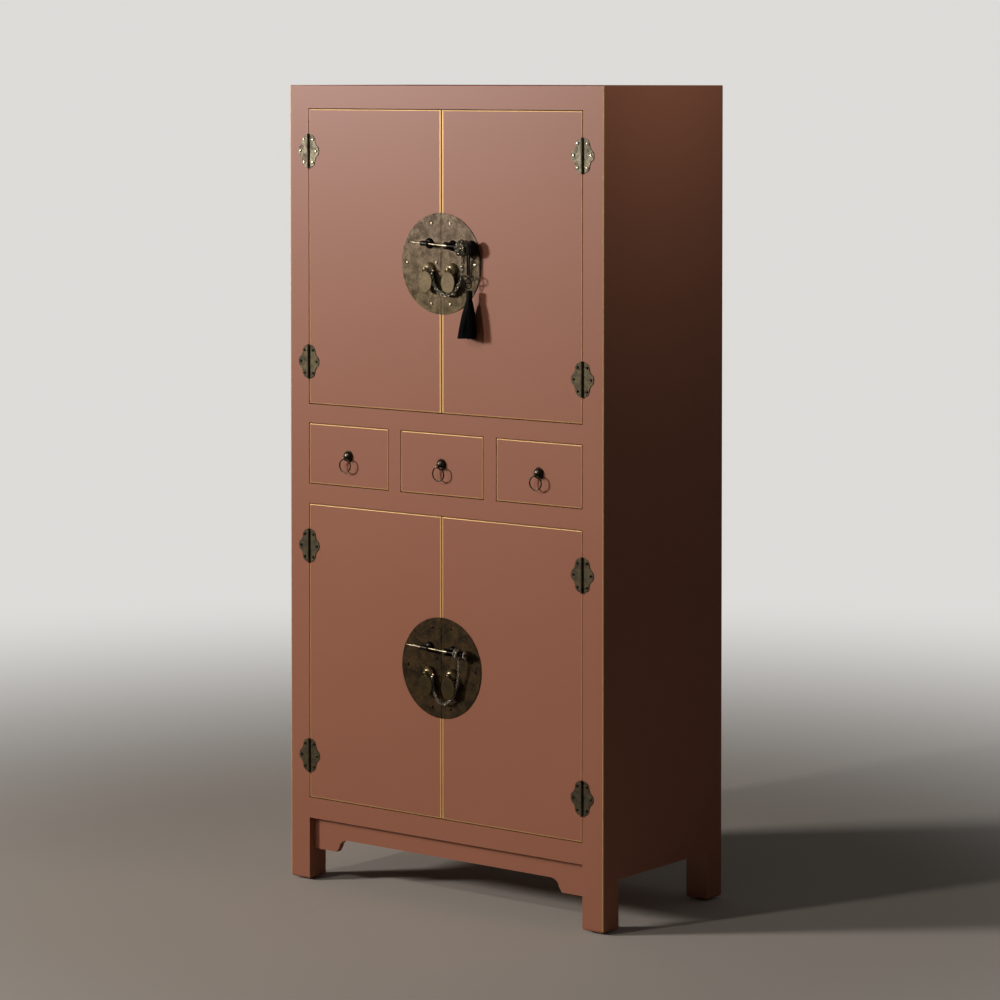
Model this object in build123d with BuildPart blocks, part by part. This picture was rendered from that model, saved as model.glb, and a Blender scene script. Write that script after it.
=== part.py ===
from build123d import *
import os
from math import cos, radians, sin, tan

os.makedirs("parts", exist_ok=True)

# A tall lacquered cabinet: two doors above, three drawers, two doors below.
# Millimetres, +X to the right, +Y to the back, +Z up. The origin is on the floor, under the
# middle of the box that holds the cabinet and its door pulls.

# ---------------------------------------------------------------- case and front frame
width = 880.0
depth = 440.0
height = 1800.0
post = 55.0                 # square corner posts, which run down as the legs
arris = 2.0                 # rounding of the outer front corners and of the rim of the top
foot_round = 6.0
glide_radius = 18.0
glide_height = 4.0
board = 18.0                # top, decks and side panels
side_foot = 110.0           # underside of the side panels above the floor
rail_depth = 30.0
rail_foot = 144.0           # underside of the bottom rail above the floor
bottom_rail = 46.0
lower_opening = 668.0
rail_below_drawers = 44.0
drawer_opening = 138.0
rail_above_drawers = 42.0
top_rail = 52.0
divider = 34.0              # uprights between the drawers
stop_lip = 8.0              # rebate behind the doors, on each rail beside them
back_rail_depth = 25.0
back_rail_height = 50.0
back_panel = 9.0

# ---------------------------------------------------------------- apron under the front
apron_recess = 16.0
apron_drop = 43.0           # under the bottom rail, between the brackets
bracket_drop = 72.0         # under the bottom rail, beside the legs
bracket_length = 67.0
bracket_slope = 8.0         # run and rise of the steep end of each bracket
bracket_slope_rise = 12.0
bracket_curve = 26.0        # run of the round from there to the arch

# ---------------------------------------------------------------- inside
shelf = 16.0
shelf_setback = 40.0
upper_shelf_rise = 330.0    # top of the shelf above the upper floor
lower_shelf_rise = 340.0
cleat = 20.0

# ---------------------------------------------------------------- doors and drawers
door = 20.0                 # thickness of doors and drawer fronts, flush with the frame
door_gap = 1.5
meeting_gap = 0.7           # from each door's free edge to the meeting line
stop_clearance = 0.8
edge_round = 2.0            # gilded arris round each door and drawer front
drawer_length = 330.0       # from the front face to the back of the box
drawer_side = 10.0
drawer_side_height = 118.0
drawer_inset = 4.0          # box sides stand in from the opening's edge
drawer_bottom = 6.0
drawer_bottom_rise = 8.0
guide_height = 20.0
slide_clearance = 0.5

# ---------------------------------------------------------------- butterfly hinges
hinge_inset = 96.0          # hinge centre from the end of the opening
hinge_height = 74.0
leaf = 1.4
leaf_reach = 30.0           # from the hinge line to the tip of the wing
knuckle_radius = 2.6
knuckle_count = 5
knuckle_gap = 0.3
hinge_standoff = 3.0        # hinge line in front of the frame
hinge_pin_radius = 1.5
pin_running = 0.05
hinge_pin_head = 2.3
hinge_pin_cap = 1.5
stud_radius = 3.0
stud_height = 2.0

# ---------------------------------------------------------------- round lock plates
plate_radius = 111.0
upper_plate_drop = 4.0      # the upper plates' centre below the middle of their doors
plate = 1.6
knob_offset = 32.0          # pull posts either side of the meeting line
knob_drop = 11.0            # below the plate's centre
knob_radius = 14.0
knob_height = 14.0
neck_radius = 3.0
eye_radius = 4.5
eye_standoff = 17.5         # drop's hinge line in front of the plate's back
chain_arm_radius = 1.5      # each left post has an arm on its dome, which the chain hangs from
chain_arm_standoff = 10.0
chain_arm_drop = 4.0        # below the middle of the dome
chain_arm_reach = 18.0      # from the middle of the dome
chain_arm_end = 2.2         # radius of the ball at its end
bail_wire = 1.2
bail_clearance = 0.3
drop_width = 38.0
drop_height = 46.0
drop_thickness = 2.2
drop_round = 0.9
bail_rise = 6.0             # from the drop's top edge to its hinge line
bail_half = 6.6
bail_lap = 10.0             # each leg of the bail laps down over the drop
plate_stud_x = 26.0         # studs near the plate's top and foot
plate_stud_z = 88.0
plate_stud_outer = 95.0
plate_stud_inner = 13.0     # one more on each left plate, near the meeting line
upper_inner_rise = 2.0
lower_inner_rise = 20.0

# ---------------------------------------------------------------- sliding lock pins
pin_rise = 42.0             # above the plate's centre, on the meeting line
pin_tilt = 3.0              # degrees: a loose pin's heavy end rests low
pin_standoff = 18.0
pin_shaft = 2.0             # radius
pin_body = 4.2
pin_collar = 4.5
pin_neck = 3.0
pin_head = 7.5
pin_tip_x = -80.0
pin_taper = 10.0
pin_collar_x = 19.0         # the collar runs from here to pin_body_x on the closed cabinet
pin_body_x = 31.0
pin_neck_x = 65.0
pin_head_x = 78.0
pin_head_length = 7.0
pin_finial = 6.0
upper_pin_shift = 8.0       # the upper pin stands a little further out than the lower
lower_pin_shift = -4.5
pin_eye_offset = 33.0
pin_eye_length = 18.0
pin_eye_wall = 3.2
pin_eye_stem = 4.0
pin_seat_radius = 12.0      # each eye stands on a low dome
pin_seat_height = 8.0
pin_clearance = 0.4
chain_ring_radius = 8.0
chain_ring_wire = 1.2

# ---------------------------------------------------------------- chain and tassel
chain_radius = 2.7
hang_clearance = 0.3        # between a link, ring or cord and what carries it
wrap_radius = 14.0
wrap_length = 10.6
cord_radius = 2.6
cord_length = 45.0
tassel_standoff = 20.0
knot_width = 31.0
knot_height = 32.0
knot_depth = 6.0
tassel_head_radius = 6.5
tassel_head_height = 21.0
skirt_height = 84.0
skirt_width = 46.0
skirt_depth = 34.0

# ---------------------------------------------------------------- drawer ring pulls
pull_base_radius = 13.0
pull_base = 1.0
pull_radius = 12.0
pull_height = 9.0
pull_eye_radius = 4.0
pull_eye_drop = 4.3         # below the middle of the post
ring_radius = 15.5          # to the middle of the wire
ring_wire = 1.5
ring_clearance = 0.6
pull_eye_standoff = pull_base + pull_height + ring_wire + ring_clearance

# ---------------------------------------------------------------- places worked out from the sizes
# The tassel or the pulls reach furthest forward: the box round the whole stands on the origin.
reach = max(tassel_standoff + skirt_depth / 2, eye_standoff + eye_radius)
front = (reach - depth) / 2
back = front + depth
half = width / 2
open_half = half - post
z_lower = rail_foot + bottom_rail
z_below = z_lower + lower_opening
z_drawer = z_below + rail_below_drawers
z_above = z_drawer + drawer_opening
z_upper = z_above + rail_above_drawers
z_top = height - top_rail
side_inner = half - board
panel_front = back - back_rail_depth - back_panel
drawer_pitch = (2 * open_half - 2 * divider) / 3 + divider
drawer_opening_width = drawer_pitch - divider
hinge_x = open_half - door_gap / 2
lower_plate_z = (z_lower + z_below) / 2
upper_plate_z = (z_upper + z_top) / 2 - upper_plate_drop
door_levels = {"upper": (z_upper, z_top, upper_plate_z), "lower": (z_lower, z_below, lower_plate_z)}
pin_shifts = {"upper": upper_pin_shift, "lower": lower_pin_shift}
inner_rises = {"upper": upper_inner_rise, "lower": lower_inner_rise}
neck_extras = {"upper": wrap_length - hang_clearance, "lower": 0.0}
sides = {"left": -1, "right": 1}
drawer_places = {"left": -drawer_pitch, "middle": 0.0, "right": drawer_pitch}


def face_plane(standoff):
    """The plane a given distance in front of the cabinet's face; its x is X and its y is Z."""
    return Plane.XZ.offset(standoff - front)


def pin_plane(level):
    """A plane whose x runs along a lock pin from the meeting line and whose y is square to it."""
    turn = radians(pin_tilt)
    origin = (0, front - pin_standoff, door_levels[level][2] + pin_rise)
    return Plane(origin=origin, x_dir=(cos(turn), 0, -sin(turn)), z_dir=(0, -1, 0))


def across_pin(level, x):
    """A plane square to a lock pin at a distance along it; its x is Y and its y is square to both."""
    along = pin_plane(level)
    return Plane(origin=along.from_local_coords((x, 0, 0)), x_dir=(0, 1, 0), z_dir=along.x_dir)


def block(x_ends, y_ends, z_ends):
    """Add a straight piece between two X, two Y and two Z values to the part being built."""
    spans = [abs(ends[1] - ends[0]) for ends in (x_ends, y_ends, z_ends)]
    centre = [(ends[0] + ends[1]) / 2 for ends in (x_ends, y_ends, z_ends)]
    with Locations(tuple(centre)):
        Box(*spans)


def notched_board(y_ends, z_ends):
    """Add a board that fills the case and is notched round the four posts."""
    block((-open_half, open_half), y_ends, z_ends)
    block((-side_inner, side_inner), (front + post, back - post), z_ends)


def save(builder, name):
    """Name a finished piece and write it."""
    builder.part.label = name
    export_step(builder.part, f"parts/{name}.step")


# ================================================================ case
with BuildPart() as front_posts:
    for side in sides.values():
        block((side * open_half, side * half), (front, front + post), (glide_height, height))
    feet = front_posts.faces().filter_by(Axis.Z).group_by(Axis.Z)[0]
    fillet(feet.edges(), foot_round)
    uprights = front_posts.edges().filter_by(Axis.Z).group_by(Axis.Y)[0]
    rim = front_posts.edges().group_by(Axis.Z)[-1]
    fillet(uprights.filter_by(lambda e: abs(e.center().X) > open_half + 1)
           + rim.filter_by(Axis.X).group_by(Axis.Y)[0]
           + rim.filter_by(lambda e: abs(e.center().X) > half - 1), arris)
save(front_posts, "front_posts")

with BuildPart() as back_posts:
    for side in sides.values():
        block((side * open_half, side * half), (back - post, back), (glide_height, height))
    feet = back_posts.faces().filter_by(Axis.Z).group_by(Axis.Z)[0]
    fillet(feet.edges(), foot_round)
    rim = back_posts.edges().group_by(Axis.Z)[-1]
    fillet(rim.filter_by(lambda e: abs(e.center().X) > half - 1), arris)
save(back_posts, "back_posts")

with BuildPart() as glides:
    post_middle = half - post / 2
    with BuildSketch(Plane.XY):
        with Locations((0, (front + back) / 2)):
            with GridLocations(2 * post_middle, depth - post, 2, 2):
                Circle(glide_radius)
    extrude(amount=glide_height)
save(glides, "glides")

# Each rail beside a door opening carries a rebate lip that the closed doors stop against.
lip = (front + door + stop_clearance, front + rail_depth)
rail_faces = (front, front + rail_depth)
with BuildPart() as front_rails:
    block((-open_half, open_half), rail_faces, (z_top, height))
    block((-open_half, open_half), lip, (z_top - stop_lip, z_top))
    block((-open_half, open_half), rail_faces, (z_above, z_upper))
    block((-open_half, open_half), lip, (z_upper, z_upper + stop_lip))
    block((-open_half, open_half), rail_faces, (z_below, z_drawer))
    block((-open_half, open_half), lip, (z_below - stop_lip, z_below))
    block((-open_half, open_half), rail_faces, (rail_foot, z_lower))
    block((-open_half, open_half), lip, (z_lower, z_lower + stop_lip))
    fillet(front_rails.edges().filter_by(Axis.X).group_by(Axis.Z)[-1].sort_by(Axis.Y)[0], arris)
save(front_rails, "front_rails")

with BuildPart() as drawer_dividers:
    for side in sides.values():
        middle = side * drawer_pitch / 2
        block((middle - divider / 2, middle + divider / 2), rail_faces, (z_drawer, z_above))
save(drawer_dividers, "drawer_dividers")

arch_z = rail_foot - apron_drop
bracket_z = rail_foot - bracket_drop
bracket_x = open_half - bracket_length
slope_top_x = bracket_x - bracket_slope
slope_top_z = bracket_z + bracket_slope_rise
arch_x = slope_top_x - bracket_curve
with BuildPart() as apron:
    with BuildSketch(face_plane(-rail_depth)):
        with BuildLine():
            Polyline((-bracket_x, bracket_z), (-open_half, bracket_z), (-open_half, rail_foot),
                     (open_half, rail_foot), (open_half, bracket_z), (bracket_x, bracket_z))
            for side in sides.values():
                Line((side * bracket_x, bracket_z), (side * slope_top_x, slope_top_z))
                EllipticalCenterArc((side * arch_x, slope_top_z), bracket_curve,
                                    arch_z - slope_top_z, 45 - 45 * side, arc_size=90)
            Line((arch_x, arch_z), (-arch_x, arch_z))
        make_face()
    extrude(amount=rail_depth - apron_recess)
save(apron, "apron")

for name, side in sides.items():
    with BuildPart() as side_panel:
        block((side * side_inner, side * half), (front + post, back - post), (side_foot, height))
        rim = side_panel.edges().filter_by(Axis.Y).group_by(Axis.Z)[-1]
        fillet(rim.filter_by(lambda e: abs(e.center().X) > half - 1), arris)
    save(side_panel, f"{name}_side_panel")

with BuildPart() as top_board:
    notched_board((front + rail_depth, back - back_rail_depth), (height - board, height))
save(top_board, "top_board")

# Floors of the lower cupboard, of the drawers and of the upper cupboard, level with the rails.
with BuildPart() as deck_boards:
    for level in (z_lower, z_drawer, z_upper):
        notched_board((front + rail_depth, panel_front), (level - board, level))
save(deck_boards, "deck_boards")

shelf_tops = (z_lower + lower_shelf_rise, z_upper + upper_shelf_rise)
with BuildPart() as shelves:
    for shelf_top in shelf_tops:
        notched_board((front + shelf_setback, panel_front), (shelf_top - shelf, shelf_top))
save(shelves, "shelves")

with BuildPart() as shelf_cleats:
    for shelf_top in shelf_tops:
        for side in sides.values():
            block((side * (side_inner - cleat), side * side_inner), (front + post, back - post),
                  (shelf_top - shelf - cleat, shelf_top - shelf))
save(shelf_cleats, "shelf_cleats")

back_middle = (z_drawer + z_above) / 2
back_rail_feet = (side_foot, back_middle - back_rail_height / 2, height - back_rail_height)
with BuildPart() as back_rails:
    for foot in back_rail_feet:
        block((-open_half, open_half), (back - back_rail_depth, back), (foot, foot + back_rail_height))
save(back_rails, "back_rails")

with BuildPart() as back_panels:
    for z_ends in ((side_foot, back_middle - door_gap / 2), (back_middle + door_gap / 2, height - board)):
        block((-open_half, open_half), (panel_front, panel_front + back_panel), z_ends)
save(back_panels, "back_panels")

# Guides lie on the drawer deck: one against each side panel, one behind each divider, and a
# cross bar that the closed drawers stop against.
guide_face = drawer_inset - slide_clearance
with BuildPart() as drawer_guides:
    guide_z = (z_drawer, z_drawer + guide_height)
    for side in sides.values():
        block((side * (open_half - guide_face), side * side_inner), (front + post, back - post), guide_z)
        inner = side * (drawer_pitch - divider) / 2 - side * guide_face
        outer = side * (drawer_pitch + divider) / 2 + side * guide_face
        block((inner, outer), (front + rail_depth, panel_front), guide_z)
    stop_front = front + drawer_length + slide_clearance
    block((-open_half, open_half), (stop_front, stop_front + board), guide_z)
save(drawer_guides, "drawer_guides")


# ================================================================ butterfly hinges
def leaf_outline(side, centre):
    """One lobed wing beside a hinge line at X, as a flat sketch; side is the way it points."""
    x_line, z_mid = centre
    root = knuckle_radius + door_gap / 2
    top = hinge_height / 2

    def at(reach, rise):
        return (x_line + side * reach, z_mid + rise)

    with BuildSketch(face_plane(0)) as wing:
        with BuildLine():
            Line(at(root, -top), at(root, top))
            for turn in (1, -1):
                waist = at(0.62 * leaf_reach, turn * 0.60 * top)
                shoulder = at(0.90 * leaf_reach, turn * 0.26 * top)
                ThreePointArc(at(root, turn * top), at(0.44 * leaf_reach, turn * 0.91 * top), waist)
                ThreePointArc(waist, at(0.71 * leaf_reach, turn * 0.40 * top), shoulder)
            ThreePointArc(at(0.90 * leaf_reach, -0.26 * top), at(leaf_reach, 0),
                          at(0.90 * leaf_reach, 0.26 * top))
        make_face()
    return wing.sketch


def leaf_studs(side, centre):
    """The three stud places on one wing."""
    x_line, z_mid = centre
    rise = 0.69 * hinge_height / 2
    return [(x_line + side * 0.42 * leaf_reach, z_mid + rise),
            (x_line + side * 0.77 * leaf_reach, z_mid),
            (x_line + side * 0.42 * leaf_reach, z_mid - rise)]


knuckle_length = hinge_height / knuckle_count


def hinge_leaf(side, centre, knuckles):
    """A wing and its share of the knuckles, bored for the hinge pin."""
    x_line, z_mid = centre
    hinge_foot = z_mid - hinge_height / 2
    tab = knuckle_radius + door_gap
    back_gap = hinge_standoff - knuckle_radius
    with BuildPart() as wing:
        extrude(leaf_outline(side, centre), amount=leaf)
        for place in knuckles:
            foot = hinge_foot + place * knuckle_length + knuckle_gap / 2
            top = foot + knuckle_length - knuckle_gap
            block((x_line, x_line + side * tab), (front - leaf, front - back_gap), (foot, top))
            with BuildSketch(Plane.XY.offset(foot)):
                with Locations((x_line, front - hinge_standoff)):
                    Circle(knuckle_radius)
            extrude(amount=top - foot)
        with BuildSketch(Plane.XY.offset(hinge_foot)):
            with Locations((x_line, front - hinge_standoff)):
                Circle(hinge_pin_radius + pin_running)
        extrude(amount=hinge_height, mode=Mode.SUBTRACT)
    return wing.part


def hinge_heights(level):
    """The two hinge centres of the doors at a level."""
    z_foot, z_head, _ = door_levels[level]
    return (z_foot + hinge_inset, z_head - hinge_inset)


def studs_at(places, standoff):
    """Domed stud heads on a plate's face."""
    with BuildPart() as heads:
        with BuildSketch(face_plane(standoff)):
            with Locations(*places):
                Circle(stud_radius)
        extrude(amount=stud_height)
        fillet(heads.faces().group_by(Axis.Y)[0].edges(), 0.7 * stud_height)
    return heads.part


frame_knuckles = range(0, knuckle_count, 2)
door_knuckles = range(1, knuckle_count, 2)
all_hinges = [(side, (side * hinge_x, z)) for level in door_levels
              for side in sides.values() for z in hinge_heights(level)]

with BuildPart() as frame_hinge_leaves:
    for side, centre in all_hinges:
        add(hinge_leaf(side, centre, frame_knuckles))
save(frame_hinge_leaves, "frame_hinge_leaves")

with BuildPart() as frame_studs:
    for side, centre in all_hinges:
        add(studs_at(leaf_studs(side, centre), leaf))
save(frame_studs, "frame_studs")

with BuildPart() as hinge_pins:
    for side, (x_line, z_mid) in all_hinges:
        foot = z_mid - hinge_height / 2
        with BuildSketch(Plane.XY.offset(foot)):
            with Locations((x_line, front - hinge_standoff)):
                Circle(hinge_pin_radius)
        extrude(amount=hinge_height)
        for cap in (foot - hinge_pin_cap, foot + hinge_height):
            with BuildSketch(Plane.XY.offset(cap)):
                with Locations((x_line, front - hinge_standoff)):
                    Circle(hinge_pin_head)
            extrude(amount=hinge_pin_cap)
save(hinge_pins, "hinge_pins")


# ================================================================ doors
def turned_post(x, z, seat, dome, ball):
    """A turned post: a low dome on its seat, a neck and a ball.

    dome is the dome's (radius, height), and ball is the ball's (radius, distance from the face).
    """
    dome_radius, dome_height = dome
    ball_size, ball_line = ball
    span = ball_line + ball_size
    with BuildPart() as turned:
        with BuildSketch(Plane.YZ.offset(x)):
            with Locations((front - seat, z)):
                Ellipse(dome_height, dome_radius)
            with Locations((front - (seat + ball_line) / 2, z)):
                Rectangle(ball_line - seat, 2 * neck_radius)
            with Locations((front - ball_line, z)):
                Circle(ball_size)
            with Locations((front - seat - span / 2, z + span / 2)):
                Rectangle(span, span, mode=Mode.INTERSECT)
        revolve(axis=Axis((x, 0, z), (0, 1, 0)))
    return turned.part


def dome_post(x, z, seat, dome, eye, bore):
    """A turned post whose ball is bored along X, as an eye."""
    eye_size, eye_line = eye
    with BuildPart() as bored:
        add(turned_post(x, z, seat, dome, eye))
        with BuildSketch(Plane.YZ.offset(x - eye_size)):
            with Locations((front - eye_line, z)):
                Circle(bore)
        extrude(amount=2 * eye_size, mode=Mode.SUBTRACT)
    return bored.part


def pin_eye(level, x, bore, open_front):
    """A bored barrel on a domed post; with an open front it is a fork that the pin lifts out of."""
    middle = pin_plane(level).from_local_coords((x, 0, 0))
    outside = bore + pin_eye_wall
    with BuildPart() as eye:
        add(turned_post(middle.X, middle.Z, plate, (pin_seat_radius, pin_seat_height),
                        (pin_eye_stem, pin_standoff)))
        with BuildSketch(across_pin(level, x - pin_eye_length / 2)):
            Circle(outside)
        extrude(amount=pin_eye_length)
        with BuildSketch(across_pin(level, x - pin_eye_length / 2)):
            Circle(bore)
            if open_front:
                with Locations((-outside / 2, 0)):
                    Rectangle(outside, 2 * bore)
        extrude(amount=pin_eye_length, mode=Mode.SUBTRACT)
    return eye.part


def plate_studs(level, side):
    """The stud places on one half of a lock plate."""
    z_mid = door_levels[level][2]
    places = [(side * plate_stud_x, z_mid + plate_stud_z), (side * plate_stud_x, z_mid - plate_stud_z),
              (side * plate_stud_outer, z_mid)]
    if side < 0:
        places.append((side * plate_stud_inner, z_mid + inner_rises[level]))
    return places


for level, (z_foot, z_head, plate_z) in door_levels.items():
    for side_name, side in sides.items():
        prefix = f"{level}_{side_name}"
        meeting = side * meeting_gap
        with BuildPart() as door_panel:
            block((meeting, side * (open_half - door_gap)), (front, front + door),
                  (z_foot + door_gap, z_head - door_gap))
            fillet(door_panel.faces().sort_by(Axis.Y)[0].edges(), edge_round)
        save(door_panel, f"{prefix}_door")

        with BuildPart() as lock_plate:
            with BuildSketch(face_plane(0)):
                with Locations((0, plate_z)):
                    Circle(plate_radius)
                with Locations((meeting + side * plate_radius / 2, plate_z)):
                    Rectangle(plate_radius, 2 * plate_radius, mode=Mode.INTERSECT)
            extrude(amount=plate)
        save(lock_plate, f"{prefix}_lock_plate")

        with BuildPart() as lock_posts:
            add(dome_post(side * knob_offset, plate_z - knob_drop, plate, (knob_radius, knob_height),
                          (eye_radius, eye_standoff), bail_wire + bail_clearance))
            pin_size = pin_shaft if side < 0 else pin_collar
            add(pin_eye(level, side * pin_eye_offset, pin_size + pin_clearance, side > 0))
            if side < 0:
                arm_y = front - chain_arm_standoff
                arm_z = plate_z - knob_drop - chain_arm_drop
                with BuildSketch(Plane.YZ.offset(-knob_offset)):
                    with Locations((arm_y, arm_z)):
                        Circle(chain_arm_radius)
                extrude(amount=chain_arm_reach)
                with Locations((chain_arm_reach - knob_offset, arm_y, arm_z)):
                    Sphere(chain_arm_end)
        save(lock_posts, f"{prefix}_lock_posts")

        centres = [(side * hinge_x, z) for z in hinge_heights(level)]
        with BuildPart() as door_hinge_leaves:
            for centre in centres:
                add(hinge_leaf(-side, centre, door_knuckles))
        save(door_hinge_leaves, f"{prefix}_hinge_leaves")

        with BuildPart() as hinge_studs:
            for centre in centres:
                add(studs_at(leaf_studs(-side, centre), leaf))
            add(studs_at(plate_studs(level, side), plate))
        save(hinge_studs, f"{prefix}_studs")

        # The drop hangs by a wire bail whose top bar runs through the post's eye.
        drop_x = side * knob_offset
        drop_axis_z = plate_z - knob_drop
        drop_top = drop_axis_z - bail_rise
        with BuildPart() as drop_pull:
            with BuildSketch(face_plane(eye_standoff - drop_thickness / 2)):
                with Locations((drop_x, drop_top - drop_height / 2)):
                    Ellipse(drop_width / 2, drop_height / 2)
            extrude(amount=drop_thickness)
            fillet(drop_pull.edges(), drop_round)
            bail_foot = drop_top - bail_lap
            with BuildLine(face_plane(eye_standoff)) as bail:
                FilletPolyline((drop_x - bail_half, bail_foot), (drop_x - bail_half, drop_axis_z),
                               (drop_x + bail_half, drop_axis_z), (drop_x + bail_half, bail_foot),
                               radius=1.5 * bail_wire)
            with BuildSketch(Plane(origin=bail.line @ 0, z_dir=bail.line % 0)):
                Circle(bail_wire)
            sweep()
        save(drop_pull, f"{prefix}_drop")


# ================================================================ lock pins
def pin_outline(level):
    """Half of a pin's outline along itself, from its tip to its finial."""
    shift = pin_shifts[level]
    tip_x = pin_tip_x + shift
    neck_x = pin_neck_x + shift
    head_x = pin_head_x + shift + neck_extras[level]
    head_end = head_x + pin_head_length
    return [(tip_x, 0), (tip_x, 0.4 * pin_shaft), (tip_x + pin_taper, pin_shaft),
            (pin_collar_x, pin_shaft), (pin_collar_x, pin_collar), (pin_body_x, pin_collar),
            (pin_body_x, pin_body), (neck_x, pin_body), (neck_x, pin_neck),
            (head_x, pin_neck), (head_x, pin_head), (head_end, 0.6 * pin_head),
            (head_end, pin_neck), (head_end + pin_finial, pin_neck), (head_end + pin_finial, 0)]


# The chain ring hangs on the neck, close to the pin's body.
ring_drop = chain_ring_radius - chain_ring_wire - pin_neck - hang_clearance
chain_ring_x = pin_neck_x + 2 * chain_ring_wire + hang_clearance
for level in door_levels:
    along = pin_plane(level)
    with BuildPart() as lock_pin:
        with BuildSketch(along):
            with BuildLine():
                Polyline(*pin_outline(level), close=True)
            make_face()
        revolve(axis=Axis(along.origin, along.x_dir))
        with BuildSketch(along):
            with Locations((chain_ring_x + pin_shifts[level], -ring_drop - chain_ring_radius)):
                Circle(chain_ring_wire)
        revolve(axis=Axis(along.from_local_coords((0, -ring_drop, 0)), along.x_dir))
    save(lock_pin, f"{level}_lock_pin")


# ================================================================ chains
def tangent_radii(points):
    """One radius for each corner: as large as its two runs leave room for."""
    radii = []
    for before, here, after in zip(points, points[1:], points[2:]):
        arriving = Vector(*here) - Vector(*before)
        leaving = Vector(*after) - Vector(*here)
        half_turn = radians(arriving.get_angle(leaving)) / 2
        radii.append(0.45 * min(arriving.length, leaving.length) / tan(half_turn))
    return radii


# Each chain hangs from the left post's arm, behind the drops, to the ring on the pin. The points
# are (X, distance in front of the face, height above the plate's centre).
chain_start = (chain_arm_reach - knob_offset - chain_arm_end - chain_radius - hang_clearance,
               chain_arm_standoff, -knob_drop - chain_arm_drop - chain_arm_radius - hang_clearance)
chain_end_drop = ring_drop + chain_ring_radius + chain_ring_wire + hang_clearance
chain_points = {
    "upper": [(-18.5, 10.5, -25.0), (-15.0, 11.5, -37.0), (-9.0, 12.0, -50.0), (1.0, 12.5, -61.0),
              (16.0, 13.0, -67.5), (33.0, 13.0, -67.0), (48.0, 13.0, -59.0), (60.0, 13.5, -45.0),
              (67.5, 14.0, -27.0), (72.5, 15.5, -4.0)],
    "lower": [(-18.5, 10.5, -26.0), (-16.0, 11.5, -40.0), (-11.0, 12.0, -55.0), (-3.0, 12.5, -68.0),
              (7.0, 13.0, -76.0), (21.0, 13.0, -75.5), (34.0, 13.0, -67.0), (45.5, 13.0, -52.0),
              (54.5, 13.2, -30.0), (60.0, 15.0, -6.0)],
}
for level, (_, _, plate_z) in door_levels.items():
    ring_foot = pin_plane(level).from_local_coords((chain_ring_x + pin_shifts[level], -chain_end_drop, 0))
    stations = [chain_start, *chain_points[level]]
    route = [(x, front - standoff, plate_z + rise) for x, standoff, rise in stations]
    route.append(tuple(ring_foot))
    radii = tangent_radii(route)
    with BuildPart() as chain:
        with BuildLine() as chain_path:
            FilletPolyline(*route, radius=radii)
        with BuildSketch(Plane(origin=chain_path.line @ 0, z_dir=chain_path.line % 0)):
            Circle(chain_radius)
        sweep()
    save(chain, f"{level}_chain")


# ================================================================ tassel on the upper pin
wrap_end = pin_head_x + upper_pin_shift + neck_extras["upper"] - hang_clearance
wrap_middle = pin_plane("upper").from_local_coords((wrap_end - wrap_length / 2, 0, 0))
tassel_x = wrap_middle.X
tassel_y = front - tassel_standoff
knot_top = wrap_middle.Z - wrap_radius - cord_length
head_top = knot_top - knot_height
skirt_top = head_top - tassel_head_height

# One silk cord is wound round the pin's neck, hangs doubled, and is knotted above the tassel.
with BuildPart() as tassel_cord:
    with BuildSketch(Plane.XY.offset(head_top)):
        with Locations((tassel_x, tassel_y)):
            Circle(cord_radius)
    extrude(amount=wrap_middle.Z - head_top)
    with BuildSketch(Plane.XZ.offset(-tassel_y - knot_depth / 2)):
        with Locations((tassel_x, knot_top - knot_height / 2)):
            Ellipse(knot_width / 2, knot_height / 2)
    extrude(amount=knot_depth)
    with BuildSketch(across_pin("upper", wrap_end - wrap_length)):
        Circle(wrap_radius)
    extrude(amount=wrap_length)
    with BuildSketch(across_pin("upper", wrap_end - wrap_length)):
        Circle(pin_neck + hang_clearance)
    extrude(amount=wrap_length, mode=Mode.SUBTRACT)
save(tassel_cord, "tassel_cord")

with BuildPart() as tassel:
    with BuildSketch(Plane.XY.offset(skirt_top)):
        with Locations((tassel_x, tassel_y)):
            Circle(tassel_head_radius)
    extrude(amount=tassel_head_height)
    with BuildSketch(Plane.XY.offset(skirt_top)) as skirt_waist:
        with Locations((tassel_x, tassel_y)):
            Circle(tassel_head_radius)
    with BuildSketch(Plane.XY.offset(skirt_top - skirt_height)) as skirt_hem:
        with Locations((tassel_x, tassel_y)):
            Ellipse(skirt_width / 2, skirt_depth / 2)
    loft([skirt_waist.sketch, skirt_hem.sketch])
save(tassel, "tassel")

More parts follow.
